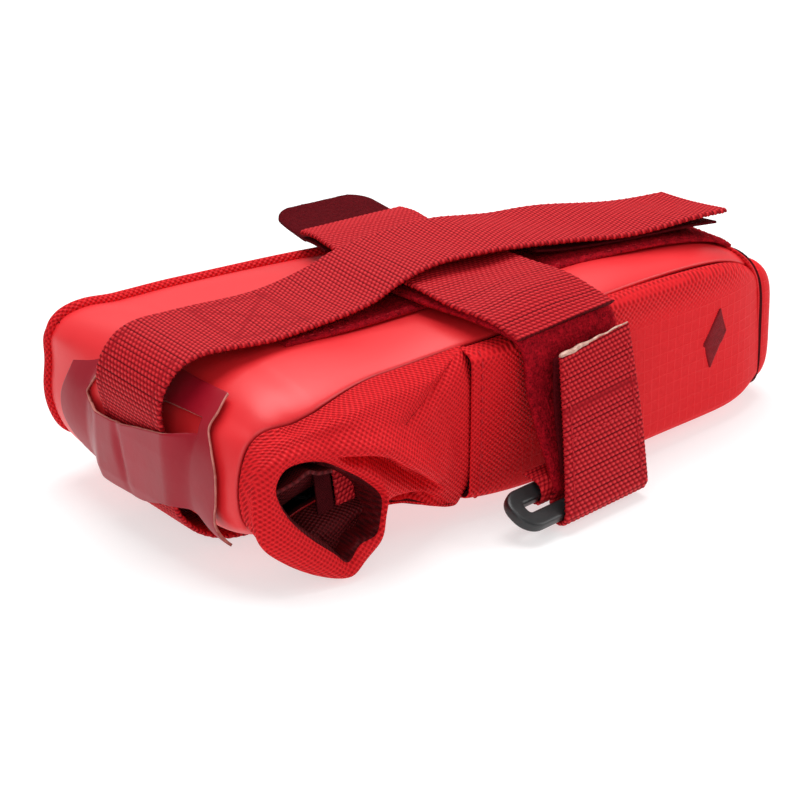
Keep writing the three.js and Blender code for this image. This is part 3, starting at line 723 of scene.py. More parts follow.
x, z = sleeve[..., 0], sleeve[..., 2]
above, length = from_crease(x, z)
sector = bell(turn_at, 62, 26) + bell(turn_at, 422, 26) + bell(turn_at, 385, 22)
outside = step(rows[:, None], 0.02, 0.2) * (step(rows[:, None], 0.67, 0.36) * (1 - sector)
                                            + step(rows[:, None], 0.80, 0.735) * sector)
fade = step(length, 1.0, 0.80) * step(length, 0.10, 0.30)
upper_layer = 2.6 * bell(np.maximum(above - 1.2, 0), 0, 8.0) * (above > 0)
under = -5.2 * bell(above, -0.4, 3.4) * (above <= 0) + 1.6 * bell(above, -9.0, 4.5)
mix = step(above, -0.7, 0.5)
fold = (upper_layer * mix + under * (1 - mix)) * fade
roll = (1.6 * bell(z, 40, 8) * bell(x, 30, 26) - 1.1 * bell(x, 57, 5) * bell(z, 22, 16)
        + 0.9 * bell(z, 8, 6) * bell(x, 46, 9))
wrinkle = (0.45 * np.sin(x * 0.55 + z * 0.35) * bell(x, 44, 12) * bell(z, 24, 12)
           + 0.8 * bell(x * 0.5 + z * 0.87, 27, 1.3) * bell(x, -3, 5))
sleeve[..., 1] -= outside * (fold + roll - wrinkle)
for _ in range(3):
    ahead, behind = np.roll(sleeve, -1, axis=1), np.roll(sleeve, 1, axis=1)
    sleeve = sleeve * 0.5 + (ahead + behind) * 0.25
    sleeve[1:-1] = sleeve[1:-1] * 0.5 + (sleeve[2:] + sleeve[:-2]) * 0.25
heading = seam_loop - belly
heading = heading[:, [0, 2]] / np.linalg.norm(heading[:, [0, 2]], axis=1, keepdims=True)
back_from_belly = np.clip(sleeve[..., 1] - belly[None, :, 1], 0, None) * step(rows[:, None], 0.68, 0.64)
back_from_belly *= 1 - step(turn_at, 340, 362)
sleeve_flat = sleeve[..., [0, 2]] + 0.85 * back_from_belly[..., None] * heading[None]
inside = step(rows, 0.775, 0.80)[:, None] + 0 * x
sleeve[..., 2] = np.maximum(sleeve[..., 2], 0.15)
inward = normals_of(sleeve, True)
for _ in range(9):
    inward = inward * 0.5 + (np.roll(inward, 1, axis=1) + np.roll(inward, -1, axis=1)) * 0.25
    inward[1:-1] = inward[1:-1] * 0.5 + (inward[2:] + inward[:-2]) * 0.25
inward /= np.linalg.norm(inward, axis=2, keepdims=True)
closure = cloth("closure_sleeve", sleeve, 0.6, [WOVEN], "woven_cloth", None, wrap=True,
                uv=sleeve_flat, back=sleeve - inward * 0.6, marks={"calm": 0 * x, "inside": inside})
# The rows that run down inside the mouth and the whole back of the sleeve take WOVEN_SHADE: painted shade inside the
# rolled sleeve
closure.data.materials.append(WOVEN_SHADE)
kinds = np.zeros(len(closure.data.polygons), np.int32)
in_rows = np.arange(len(rows) - 1)[:, None] + 0 * np.arange(TURNS)[None]
kinds[:in_rows.size] = (in_rows.ravel() > 0.80 * len(rows))
kinds[in_rows.size:] = 1
closure.data.polygons.foreach_set("material_index", kinds)
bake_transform(closure)
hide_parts("closure_flap", "closure_ear", "closure_lining")

# %% [markdown]
# Where the sleeve rolls over, the upper layer stands out beyond the lower roll and its folded
# edge throws a deep shadow. This is a narrow cloth along the fold line: it leaves the sleeve's
# surface, swells, and turns back under itself at the edge.

# %% Overhanging fold
outer = np.where((rows > 0.05) & (rows < 0.75))[0]
cloud = sleeve[outer][::2, ::3].reshape(-1, 3)
cloud = cloud[(cloud[:, 0] > 4) & (cloud[:, 0] < 60) & (cloud[:, 2] > 6)]
along = np.gradient(CREASE, axis=0)
along /= np.linalg.norm(along, axis=1, keepdims=True)
upward = np.stack([-along[:, 1], along[:, 0]], axis=1)
keep = slice(12, 192)
line, upward = CREASE[keep], upward[keep]
profile = curve([[0, 8.5, -0.7], [0, 6.5, 0.0], [0, 4.2, 1.0], [0, 2.0, 2.0], [0, 0.4, 2.1], [0, -0.5, 1.2],
                 [0, 0.0, 0.1], [0, 1.2, -0.9]], 46)[:, 1:]
run = np.linspace(0, 1, len(line))[:, None]
stand = step(run, 0.0, 0.16) * step(run, 1.0, 0.66)
reach = profile[None, :, 0] * (0.35 + 0.65 * stand)
flat = line[:, None] + upward[:, None] * reach[..., None]
ask = flat.reshape(-1, 2)
near = np.concatenate([np.argsort(((part[:, None] - cloud[None][..., [0, 2]]) ** 2).sum(axis=2), axis=1)[:, :6]
                       for part in np.array_split(ask, 24)])
surface = cloud[near, 1].min(axis=1).reshape(flat.shape[:2])
for _ in range(10):
    surface[1:-1] = surface[1:-1] * 0.5 + (surface[2:] + surface[:-2]) * 0.25
    surface[:, 1:-1] = surface[:, 1:-1] * 0.5 + (surface[:, 2:] + surface[:, :-2]) * 0.25
level = surface[:, :1] * (1 - np.linspace(0, 1, 46)) + surface[:, 12:13] * np.linspace(0, 1, 46)
level = np.minimum(level, surface + 4)
fold_y = level - (profile[None, :, 1] + 0.7) * stand * 1.5 + 0.55
fold = np.stack([flat[..., 0], fold_y, flat[..., 1]], axis=-1)
over = cloth("sleeve_overhanging_fold", fold, 0.45, [WOVEN], "woven_cloth", None,
             uv=fold[..., [0, 2]], marks={"calm": 0 * fold[..., 0]})
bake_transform(over)

# %% [markdown]
# Webbing is woven narrow, thick and ribbed. A strap is a ribbon between two edge lines with a
# mid surface, and its cross-section is a closed loop: the top face, a rounded edge, the
# underside and the other edge. Ribs of beads are raised on both faces, and the edges are
# scalloped where the weft yarn turns back.

# %% Straps
RIB = 1.14                          # mm from rib to rib along a strap
BEAD = 1.62                         # mm from bead to bead along a rib


def ribs(u, v, rib=RIB, bead=BEAD):
    """Height from 0 to 1 of the beads at u mm along and v mm across. A rib is a half wave along
    the strap; along the rib each bead is a hump, and the next rib's beads sit between."""
    row = u / rib
    number = np.floor(row)
    across = np.abs(np.cos(math.pi * (v / bead + 0.5 * np.mod(number, 2) + 0.45 * (row - number))))
    return np.abs(np.sin(math.pi * row)) ** 0.9 * (0.12 + 0.88 * across ** 0.7)


def ribbon(left, right, step_mm, columns=None):
    """Mid surface between two edge lines. Left is the edge on the left when the strap is seen
    from its upper face, looking along it."""
    long = max(np.linalg.norm(np.diff(curve(e, 200), axis=0), axis=1).sum() for e in (left, right))
    count = int(long / step_mm) + 1
    a, b = curve(left, count), curve(right, count)
    columns = columns or int(np.linalg.norm(a - b, axis=1).max() / step_mm) + 1
    v = np.linspace(0, 1, columns)[None, :, None]
    return a[:, None] * (1 - v) + b[:, None] * v


def webbing(name, middle, thick, body, start=0.0, rib=RIB, bead=BEAD, relief=0.30, quiet=None,
            finish=None, slot="webbing", crown=0.0):
    """A closed strap about a mid surface. start is the distance along at its first row, so that
    pieces of one strap keep one pattern. quiet is 1 where sewing presses the ribs flat."""
    u, v = spread(middle, 0)[:, None] + start, spread(middle, 1)[None, :]
    u, v = u + 0 * v, v + 0 * u
    width = v[0, -1]
    edge = np.minimum(v, width - v)
    round_off = np.sqrt(np.clip(1 - (1 - np.clip(edge / (thick * 0.55), 0, 1)) ** 2, 0.04, 1))
    h = ribs(u, v, rib, bead)
    if quiet is not None:
        h = h * (1 - 0.75 * quiet) + 0.22 * quiet
    scallop = 0.22 * np.cos(2 * math.pi * u / rib) * step(edge, 1.1, 0.0)
    over = np.gradient(middle, axis=1)
    over /= np.linalg.norm(over, axis=2, keepdims=True)
    normal = normals_of(middle)
    middle = middle + over * (scallop * np.where(v < width / 2, -1, 1))[..., None]
    half = (thick / 2 - relief) * round_off
    lift = (half + relief * h * np.clip(edge / 0.3, 0.25, 1))[..., None]
    drop = (half + relief * ribs(u + rib / 2, v, rib, bead) * np.clip(edge / 0.3, 0.25, 1))[..., None]
    middle = middle + normal * (crown * np.sin(math.pi * v / width))[..., None]
    return cloth(name, middle + normal * lift, thick, [finish or WEBBING], slot, body,
                 uv=np.stack([u, v], axis=-1), back=middle - normal * drop, marks={"relief": h})


def edges(points, middle, width):
    """Both edges of a strap that runs in the plane of x and z, about a middle line in y."""
    points = np.asarray(points, float)
    y = at_station(middle, points[:, 0])
    return [np.stack([points[:, 0], y + side * width / 2, points[:, 1]], axis=1) for side in (1, -1)]


LONG_WIDTH = 30.5
STRAP_MIDDLE = [[-15, -4], [20, -4], [45, -2], [80, 0], [110, -0.5], [135, -3], [168, -6.5]]
LONG_PATH = [[-11.4, 19], [-12.0, 22], [-12.2, 27.2], [-13.3, 32], [-14.4, 36.5], [-14.2, 41], [-12.2, 45.3],
             [-8.4, 48.9], [-3, 50.7], [5, 50.9], [20, 50.6], [36, 51.2], [49, 53.2], [58, 56.2],
             [70, 58.2], [88, 58.6], [100, 57.6], [110, 56.4], [125, 55.6], [140, 55.9], [150, 56.5], [162.0, 57.2]]
STRAP_STEP = 0.31
BOX_AT = 62.0                       # mm along the strap to the middle of the sewn box
left, right = edges(LONG_PATH, STRAP_MIDDLE, LONG_WIDTH)
left[:, 2] -= 3.4 * step(left[:, 0], 118, 167)
left[:, 0] += 1.6 * step(left[:, 0], 140, 159)
right[:, 0] -= 0.9 * step(right[:, 0], 140, 159)
long_mid = ribbon(left, right, STRAP_STEP)
long_u = spread(long_mid, 0)
x, y = long_mid[..., 0], long_mid[..., 1]
long_mid[..., 2] += 0.5 * np.sin(x / 9.0) * np.sin(y / 9 + x / 20) * step(x, -5, 20) + 0.6 * bell(x, 118, 12)
middle_column = long_mid.shape[1] // 2
cut_lift = int(np.argmin(np.abs(long_mid[:, middle_column, 0] + 14.3) + (long_mid[:, middle_column, 2] > 41)))
cut_peel = int(np.argmin(np.abs(long_mid[:, middle_column, 0] - 84)))
v = spread(long_mid, 1)[None, :] + 0 * long_u[:, None]
u = long_u[:, None] + 0 * v
sewn_box = (np.abs(u - BOX_AT) < 12) * (np.abs(v - LONG_WIDTH / 2) < 12)
sewn = 0.7 * sewn_box * np.clip(bell(np.abs(u - BOX_AT) - 11, 0, 0.7) + bell(np.abs(v - LONG_WIDTH / 2) - 11, 0, 0.7)
                          + bell((u - BOX_AT) - (v - LONG_WIDTH / 2), 0, 0.8)
                          + bell((u - BOX_AT) + (v - LONG_WIDTH / 2), 0, 0.8), 0, 1)
sewn = np.clip(sewn + (u < 34) * bell(np.minimum(v, LONG_WIDTH - v), 3.2, 0.5), 0, 1)
parts = [("long_strap_root", 0, cut_lift, "shell"), ("long_strap_run", cut_lift, cut_peel, None),
         ("long_strap_end", cut_peel, len(long_u) - 1, None)]
made = {}
for name, first, last, body in parts:
    rows = slice(first, last + 1)
    made[name] = webbing(name, long_mid[rows], 1.6, body, start=long_u[first], quiet=sewn[rows])
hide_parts("strap_root")
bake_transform(made["long_strap_run"])
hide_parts("strap_run")
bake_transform(made["long_strap_end"])
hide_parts("strap_tail")

# %% [markdown]
# The strap starts under the bag: it comes forward along the base, bends up in front of the nose
# and disappears behind the lash patch, to come out of the patch's slot.

# %% Lower part of the long strap
LOW_PATH = [[16, 0.9], [8, 1.0], [2, 1.9], [-4.5, 5], [-9.2, 9.8], [-11.0, 14], [-11.4, 19]]
left, right = edges(LOW_PATH, STRAP_MIDDLE, LONG_WIDTH)
left[:, 1] += 1.0 * step(left[:, 2], 8, 0)
low_mid = ribbon(left, right, 0.4)
low_strap = webbing("long_strap_low", low_mid, 1.5, "shell")

# %% [markdown]
# Loop tape has a knitted back and a pile of tiny loops. Its mesh is a ribbon with a cloudy height. The edge is sewn
# down with a fine line.

# %% Tapes
def cloudy(u, v, seed=0.0, pitch=0.9):
    """Uneven height from 0 to 1: a sum of waves whose directions and lengths never repeat."""
    total = sum(np.sin((u * math.cos(k * 2.4 + seed) + v * math.sin(k * 2.4 + seed)) * (1.9 + 0.83 * k) / pitch
                       + 1.7 * k + seed) for k in range(9))
    return 0.5 + total / 12


def tape(name, middle, thick, body, finish, slot, pile_mm=0.45, uneven=0.5):
    """A thin ribbon with a rough upper face."""
    u, v = spread(middle, 0)[:, None], spread(middle, 1)[None, :]
    u, v = u + 0 * v, v + 0 * u
    width, length = v[0, -1], u[-1, 0]
    edge = np.minimum.reduce([v, width - v, u, length - u])
    normal = normals_of(middle)
    inside = np.clip(edge / 1.2, 0, 1)
    h = thick * 0.3 + pile_mm * (0.4 + 0.9 * cloudy(u, v, uneven)) * inside
    return cloth(name, middle + normal * h[..., None], thick, [finish], slot, body,
                 uv=np.stack([u, v], axis=-1), back=middle - normal * thick * 0.5)


x = np.linspace(22, 165.5, 340)
z = at_station(TOP, x) + 0.9
loop_edges = [np.stack([x, 0 * x + y, z - 0.3 * step(x, 158, 166)], axis=1) for y in (11.0, -18.5)]
share_v = np.linspace(0, 1, 70)[None, :, None]
loop_mid = loop_edges[0][:, None] * (1 - share_v) + loop_edges[1][:, None] * share_v
top_tape = tape("top_loop_tape_pile", loop_mid, 0.9, "shell", LOOP, "loop_tape", 0.7)
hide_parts("top_loop_tape")

hook_points = [[103, 54.9], [112, 53.7], [125, 53.3], [140, 53.5], [150, 53.8], [160.0, 53.6]]
left, right = edges(hook_points, STRAP_MIDDLE, LONG_WIDTH - 5)
left[:, 2] -= 3.0 * step(left[:, 0], 118, 167)
hook = tape("long_strap_hook_tape", ribbon(left, right, 0.6)[:, ::-1], 0.8, "long_strap_end", HOOK, "hook_tape", 0.3)
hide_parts("strap_hook_tape")

RING_PLACE, RING_SKEW = np.array([84.0, -57.8, 5.0]), 0.235
ring_side = lambda x: RING_PLACE[1] + RING_SKEW * (x - RING_PLACE[0])
cross_low = [[59.5, 12, 51.2], [60, -5, 51.4], [61.5, -22, 51.4], [67, -37.5, 49.8], [73.6, -45, 44.5],
             [75.3, -46.4, 32], [76.3, -50.2, 21], [76.4, -54.5, 13.5], [76.2, ring_side(76.2) + 2.6, 7.6]]
cross_high = [[93.5, 17, 52.8], [94, 4, 53], [95.5, -14, 53], [101, -30, 52], [106.2, -40.3, 46.5],
              [107.4, -43, 33], [107.8, -46, 21], [107.6, -48.6, 13.5], [107.2, ring_side(107.2) + 2.6, 7.6]]
cross_loop = tape("cross_loop_pile", ribbon(cross_high, cross_low, 0.45), 1.0, "shell", LOOP, "loop_tape", 0.75, 1.3)
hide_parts("cross_loop_strap")

# %% [markdown]
# The cross strap is webbing on top and loop tape below, and it lies under the long strap. Its
# near end stops at the bag's edge. Its far end is free: it carries a hook tab.

# %% Cross strap
near_low = [[60.3, 14, 54.0], [60.6, -3, 54.2], [61.7, -20.5, 54.1], [63, -29, 53.4], [67.5, -39, 51.3], [72.4, -46, 46.6]]
near_high = [[94.4, 14, 55.2], [94.6, 2, 55.4], [95.8, -12.5, 55.3], [97, -20, 55.1], [101, -31, 54.2], [106.4, -41.4, 49.0]]
near_mid = ribbon(near_high, near_low, 0.31)
near_mid[..., 2] += 0.5 * np.sin(near_mid[..., 0] / 6) * np.sin(near_mid[..., 1] / 7)
near_web = webbing("cross_webbing_top", near_mid, 1.5, "shell", rib=1.14, bead=1.62)
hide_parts("cross_webbing_near", "cross_webbing_root")
far_low = [[64.2, 39.5, 53.2], [62.8, 31, 54.6], [61.4, 24, 54.9], [60.6, 14.3, 54.6]]
far_high = [[98, 40.5, 53.6], [96.6, 32, 54.9], [95.2, 24, 55.2], [94.5, 14.3, 55.2]]
far_web = webbing("cross_webbing_end", ribbon(far_high, far_low, 0.34), 1.5, None, rib=1.14, bead=1.62)
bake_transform(far_web)
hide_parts("cross_webbing_far")
hook_low = [[64.6, 39.2, 51.4], [63.1, 31, 52.4], [61.8, 24, 52.6]]
hook_high = [[97.4, 39.8, 51.7], [95.7, 31, 52.7], [94.6, 24, 52.8]]
hook_under = tape("cross_end_hook_tape", ribbon(hook_high, hook_low, 0.5)[:, ::-1], 0.8, "cross_end", HOOK, "hook_tape", 0.3)
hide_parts("hook_strap")


def rounded(middle, radius, at_start):
    """Rounds the two corners at one end of a ribbon by drawing its edges in along a circle."""
    u = spread(middle, 0)
    d = np.clip(radius - (u if at_start else u[-1] - u), 0, radius)
    width = spread(middle, 1)[-1]
    pull = (radius - np.sqrt(radius ** 2 - d ** 2))[:, None] / width
    v = np.linspace(0, 1, middle.shape[1])[None, :]
    v = v * (1 - 2 * pull) + pull
    return middle[:, :1] * (1 - v[..., None]) + middle[:, -1:] * v[..., None]


tab_low = [[68.5, 59.6, 52.8], [66.8, 53, 51.9], [65.0, 40.0, 51.3], [64.8, 38.0, 51.3]]
tab_high = [[97.2, 60.2, 53.0], [97.8, 53, 52.2], [97.4, 40.0, 51.6], [97.3, 38.0, 51.6]]
hook_tab_mid = rounded(ribbon(tab_high, tab_low, 0.5), 6.0, True)
hook_tab = tape("hook_tab_cloth", hook_tab_mid, 0.9, None, HOOK, "hook_tape", 0.3)
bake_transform(hook_tab)
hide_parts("hook_tab")

# %% [markdown]
# A moulded plastic loop hangs at the near side. It is a rounded bar carried round a rounded
# rectangle: the section is a squarish oval, which is what a worn mould gives.

# %% Plastic loop
def rounded_rectangle(half_x, half_y, radius, count):
    """A closed rectangle with quarter-circle corners, evenly spaced."""
    turn = np.linspace(0, math.pi / 2, 14)
    arc = np.stack([np.cos(turn), np.sin(turn)], axis=1) * radius
    corners = []
    for k, (sx, sy) in enumerate(((1, 1), (-1, 1), (-1, -1), (1, -1))):
        c, s = math.cos(k * math.pi / 2), math.sin(k * math.pi / 2)
        corners.append(arc @ np.array([[c, s], [-s, c]]) + [sx * (half_x - radius), sy * (half_y - radius)])
    line = np.concatenate(corners + [corners[0][:1]])
    return measured(line, count + 1)[:-1]


half_long, gap = 20.5, 7.6
outline = rounded_rectangle(half_long, gap / 2, 3.2, 220) + [0, -gap / 2]
ahead = np.roll(outline, -1, axis=0) - np.roll(outline, 1, axis=0)
ahead /= np.linalg.norm(ahead, axis=1, keepdims=True)
out = np.stack([ahead[:, 1], -ahead[:, 0]], axis=1)
turn = np.linspace(0, 2 * math.pi, 40, endpoint=False)
power = lambda value: np.sign(value) * np.abs(value) ** 0.42
side, up = 2.35 * power(np.cos(turn)), 1.5 * power(np.sin(turn))
flat_ring = np.concatenate([outline[:, None] + out[:, None] * side[None, :, None],
                            np.broadcast_to(up[None, :, None], (220, 40, 1))], axis=2)
across = np.array([1, RING_SKEW, 0]) / math.hypot(1, RING_SKEW)
outward = np.array([RING_SKEW * 0.86, -0.86, -0.51])
outward /= np.linalg.norm(outward)
ring_points = RING_PLACE + flat_ring @ np.stack([across, outward, np.cross(across, outward)])
number = np.arange(220 * 40).reshape(220, 40)
number = np.concatenate([number, number[:1]])
number = np.concatenate([number, number[:, :1]], axis=1)
ring_quads = np.stack([number[:-1, :-1], number[:-1, 1:], number[1:, 1:], number[1:, :-1]], axis=-1).reshape(-1, 4)
ring = new_piece("closure_loop", ring_points, ring_quads, [BLACK], "black_plastic", "shell")
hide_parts("closure_ring")


def round_bar(x, back_y, z, radius, start, end, count):
    """Points round a bar of the loop at one station, between two angles in degrees."""
    a = np.radians(np.linspace(start, end, count))
    return np.stack([0 * a + x, ring_side(x) + back_y + radius * np.cos(a), z + radius * np.sin(a)], axis=1)


BACK_Y, BACK_Z = 0.86 * gap, 5.0 + 0.51 * gap
anchor_edge = lambda x: np.concatenate([[[x, ring_side(x) + BACK_Y + 4.5, BACK_Z - 3.2]],
                                        round_bar(x, BACK_Y, BACK_Z, 3.0, -90, -270, 9),
                                        [[x, ring_side(x) + BACK_Y + 4.5, BACK_Z + 3.2]]])
anchor = webbing("loop_anchor_webbing", ribbon(anchor_edge(72), anchor_edge(98), 0.45)[:, ::-1], 1.2, "shell")
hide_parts("ring_anchor")

# %% [markdown]
# The closure tab passes through the loop, folds round its outer bar and comes back up. Hook tape
# inside it grips the pile. Its cut end was sealed with a hot knife, which leaves a hard pale lip.

# %% Closure tab
TAB_LOW, TAB_HIGH = [82, -50.4, 41.4], [106, -47.6, 45]
tab_edge = lambda x, top: np.concatenate([
    [[x, ring_side(x) + 3.2, 8.5]], round_bar(x, 0, 5.0, 3.3, 0, -180, 11)[2:],
    [[x + (top[0] - x) * 0.35, (ring_side(x) - 3.3) * 0.62 + top[1] * 0.38 - 0.7, 5 + (top[2] - 5) * 0.38],
     [x + (top[0] - x) * 0.7, (ring_side(x) - 3.3) * 0.28 + top[1] * 0.72 - 0.5, 5 + (top[2] - 5) * 0.72], top]])
tab_mid = ribbon(tab_edge(75.0, TAB_LOW), tab_edge(107.2, TAB_HIGH), 0.31)[:, ::-1]
tab_mid = tab_mid[:, ::-1]
tab_u, tab_v = spread(tab_mid, 0), spread(tab_mid, 1)
u, v = tab_u[:, None] + 0 * tab_v, tab_v[None, :] + 0 * tab_u[:, None]
tab_width, tab_length = tab_v[-1], tab_u[-1]
sewn = bell(u, tab_length - 14.0, 1.0) * 0.95 + (u < tab_length - 14) * bell(np.minimum(v, tab_width - v), 2.6, 0.5) * 0.8
tab = webbing("closure_tab_webbing", tab_mid, 1.6, "tab", rib=1.16, bead=1.6, quiet=np.clip(sewn, 0, 1))
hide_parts("closure_tab")
tab_hook_low = [[78.8, -56.3, 13], [80, -51.4, 30], [82.2, -47.9, 40.3]]
tab_hook_high = [[106.4, -51.2, 13], [106.2, -47.2, 30], [105.4, -44.9, 43.2]]
tab_hook = tape("closure_tab_hook_tape", ribbon(tab_hook_low, tab_hook_high, 0.5), 0.8, "tab", HOOK, "hook_tape", 0.4)
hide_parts("tab_hook_tape")
seal_u = np.linspace(0, 1, 110)
seal_line = np.array(TAB_LOW) * (1 - seal_u[:, None]) + np.array(TAB_HIGH) * seal_u[:, None]
seal_line[:, 2] += 0.2 + 0.15 * np.sin(seal_u * 25)
seal_r = (0.72 - 0.42 * step(seal_u, 0.15, 0.7)) * np.sqrt(np.clip(1 - (2 * seal_u - 1) ** 20, 0.02, 1))
turn = np.linspace(0, 2 * math.pi, 20, endpoint=False)
uneven = 1 + 0.12 * np.sin(seal_u * 40)[:, None] * np.cos(turn * 2)[None, :]
seal = seal_line[:, None] + (seal_r[:, None] * uneven)[..., None] * (
    np.cos(turn)[None, :, None] * np.array([0.1, -1.15, 0.1]) + np.sin(turn)[None, :, None] * np.array([-0.1, 0, 0.9]))


def tube(name, rings, materials, slot, body, **more):
    """A closed tube from rings of points, with its two ends closed by their middle points."""
    rings = np.concatenate([rings[:1].mean(axis=1, keepdims=True) + 0.002 * (rings[:1] - rings[:1].mean(axis=1, keepdims=True)),
                            rings, rings[-1:].mean(axis=1, keepdims=True) + 0.002 * (rings[-1:] - rings[-1:].mean(axis=1, keepdims=True))])
    n, m = rings.shape[:2]
    number = np.arange(n * m).reshape(n, m)
    quads = grid_faces(number, True)
    caps = np.stack([number[0, :-2][1:], number[0, 1:-1][1:]], axis=1)
    piece = new_piece(name, rings, quads, materials, slot, body, uv=flat_of(rings), **more)
    return piece


seal_piece = tube("closure_tab_sealed_end", seal, [SEALED], "sealed_edge", "tab")
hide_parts("tab_end_seal")

# %% [markdown]
# The lash patch is a film with a slot for the strap. It is one ring of film round the slot: rows
# grow from the slot's outline to the outer outline. The film lies on the nose at its edges and
# bulges over the strap in the middle. Its cut edges show a paler core.

# %% Lash patch
def outline_of(sides, count):
    """A closed outline of four sides, each a smooth line with the same number of points."""
    return np.concatenate([curve(side, count + 1)[:-1] for side in sides])


OUTER = [[[31.6, 40.6], [24, 42.2], [5, 43.4], [-15, 43.4], [-29.4, 43.6]],
         [[-29.4, 43.6], [-31.2, 40.6], [-31.6, 37.2], [-35, 33.4], [-38.2, 28], [-38.6, 21.4], [-37.4, 15], [-38.6, 9.4]],
         [[-38.6, 9.4], [-34.6, 12.4], [-30, 15.6], [-24.3, 15.4], [-17.2, 14.2], [-8.5, 11.6], [-3.2, 10.8], [2.2, 10.8], [9.6, 10.8], [17, 11.8]],
         [[17, 11.8], [26, 15.6], [31, 20.9], [32, 26.6], [30.4, 34.5], [31.6, 40.6]]]
SLOT = [[[18.6, 35.4], [10.8, 36.2], [-10, 37.6], [-27.8, 38.4]],
        [[-27.8, 38.4], [-28.3, 36.6], [-28.8, 35.2]],
        [[-28.8, 35.2], [-19.4, 33.6], [-8.7, 31.6], [0.3, 29.7], [8.6, 29.0], [18.8, 28.8]],
        [[18.8, 28.8], [21.0, 30.2], [21.0, 31.6], [18.6, 35.4]]]
SIDE_POINTS = 110
outer_line, slot_line = outline_of(OUTER, SIDE_POINTS), outline_of(SLOT, SIDE_POINTS)
share_r = np.linspace(0, 1, 46)[:, None, None]
patch_yz = slot_line[None] * (1 - share_r) + outer_line[None] * share_r


def nose_x(y, z):
    """Station of the coated nose at a height and a distance to the side."""
    nose = np.asarray(NOSE, float)[::-1]
    x = at_station(nose[:, ::-1], np.clip(z, nose[0, 1], nose[-1, 1]))
    side = np.abs((y - 0.2) / 45.3) * 0.955
    return x + 11 * (1 - oval(side))


def patch_x(y, z):
    """Station of the film: just off the nose, or over the strap where the strap is."""
    over = step(np.abs(y + 4.0), 25.0, 15.5) * step(z, 44, 39.5)
    low = step(z, 38.5, 33.5)
    strap = np.interp(z, [0, 9, 14, 22, 28, 34], [-8.5, -11.9, -13.4, -14.2, -14.6, -14.6])
    wall = nose_x(y, z) - 1.2
    flare = 1.1 * step(z, 24, 10) * step(np.abs(y), 26, 38)
    bulge = 1.5 * step(y, 14, 30) * bell(z, 27, 11)
    return wall * (1 - over * low) + strap * over * low - bulge - flare


y, z = patch_yz[..., 0], patch_yz[..., 1]
dent = 0.35 * np.sin(z / 5 + y / 9) * bell(y, 3, 16) + 0.9 * bell(y - 0.16 * (z - 20), 0.5, 1.6) * bell(z, 22, 8)
film_face = np.stack([patch_x(y, z) + dent, y, z], axis=-1)[:, ::-1]
film_flat = patch_yz[:, ::-1]
patch = cloth("lash_patch_film", film_face, 0.75, [FILM, FILM, FILM_EDGE], "patch_film", "shell", wrap=True, uv=film_flat)
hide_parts("lash_patch")

# %% [markdown]
# Piping is a cord wrapped in a strip of the woven cloth and caught in the seam. It is a round
# section carried along the far seam, thinner where it turns down round the nose.

# %% Piping
loop = FAR_EDGE[row_at(166.0, True):row_at(-5.0, False) + 1]
pipe_line = measured(loop, 620)
ahead = np.gradient(pipe_line, axis=0)
ahead /= np.linalg.norm(ahead, axis=1, keepdims=True)
middle = np.array([60.0, -10.0, 24.0])
away = pipe_line - np.stack([np.clip(pipe_line[:, 0], 12, 170), 0 * pipe_line[:, 0] - 6, 0 * pipe_line[:, 0] + 26], axis=1)
away[:, 1] = np.linalg.norm(away[:, [0, 2]], axis=1)
away -= ahead * (away * ahead).sum(axis=1, keepdims=True)
away /= np.linalg.norm(away, axis=1, keepdims=True)
beside = np.cross(ahead, away)
walk = np.linspace(0, 1, len(pipe_line))
radius = 1.75 - 0.35 * step(walk, 0.75, 0.9)
radius = radius * np.sqrt(np.clip(1 - (2 * walk - 1) ** 60, 0.03, 1))
turn = np.linspace(0, 2 * math.pi, 28, endpoint=False)
pipe = (pipe_line + away * 0.55)[:, None] + radius[:, None, None] * (
    np.cos(turn)[None, :, None] * away[:, None] + np.sin(turn)[None, :, None] * beside[:, None])
piping = tube("far_seam_piping", pipe[:, ::-1], [WOVEN], "woven_cloth", "shell", marks={"calm": np.zeros((len(pipe) + 2, 28))})
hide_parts("far_piping")

# %% [markdown]
# Inside, the compartment has a plain lining, a stiff board under it, a flat pocket on the far
# wall and a woven lip that the closure overlaps.

# %% Inside the compartment
def inner_sheet(name, angles, x0, x1, inset, thick, material, slot, rows=60, columns=60):
    """A panel that follows the skin at an inset, between two angles and two stations."""
    x = np.linspace(x0, x1, rows)[:, None]
    a = np.linspace(angles[0], angles[1], columns)[None]
    grid = section(x, a, inset)
    if angles[1] < -40 and angles[0] < -40:
        grid[..., 2] += tuck(grid[..., 0], grid[..., 1])
    piece = cloth(name, grid, thick, [material], slot, "shell", marks={"calm": np.zeros((rows, columns))})
    return piece


board = inner_sheet("base_stiffener", (-126, -54), 26, 158, WALL + 0.9, 1.2, BOARD, "stiff_board")
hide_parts("base_board")
pocket = inner_sheet("pocket_on_far_wall", (-30, 30), 20, 112, WALL + 1.8, 0.7, LINING, "lining")
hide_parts("inner_pocket")
# The lip cloth is drawn in WOVEN_SHADE: painted shade, as it sits inside the bag's mouth
lip_cloth = inner_sheet("mouth_lip_cloth", (-176, -139), 1, 57.5, WALL + 3.0, 1.1, WOVEN_SHADE, "woven_cloth")
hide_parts("mouth_lip")

# %% [markdown]
# Down inside the sleeve three narrow pieces show: a second layer of the rolled cloth, the tape
# that binds its seam, and the end of a pull made of webbing.

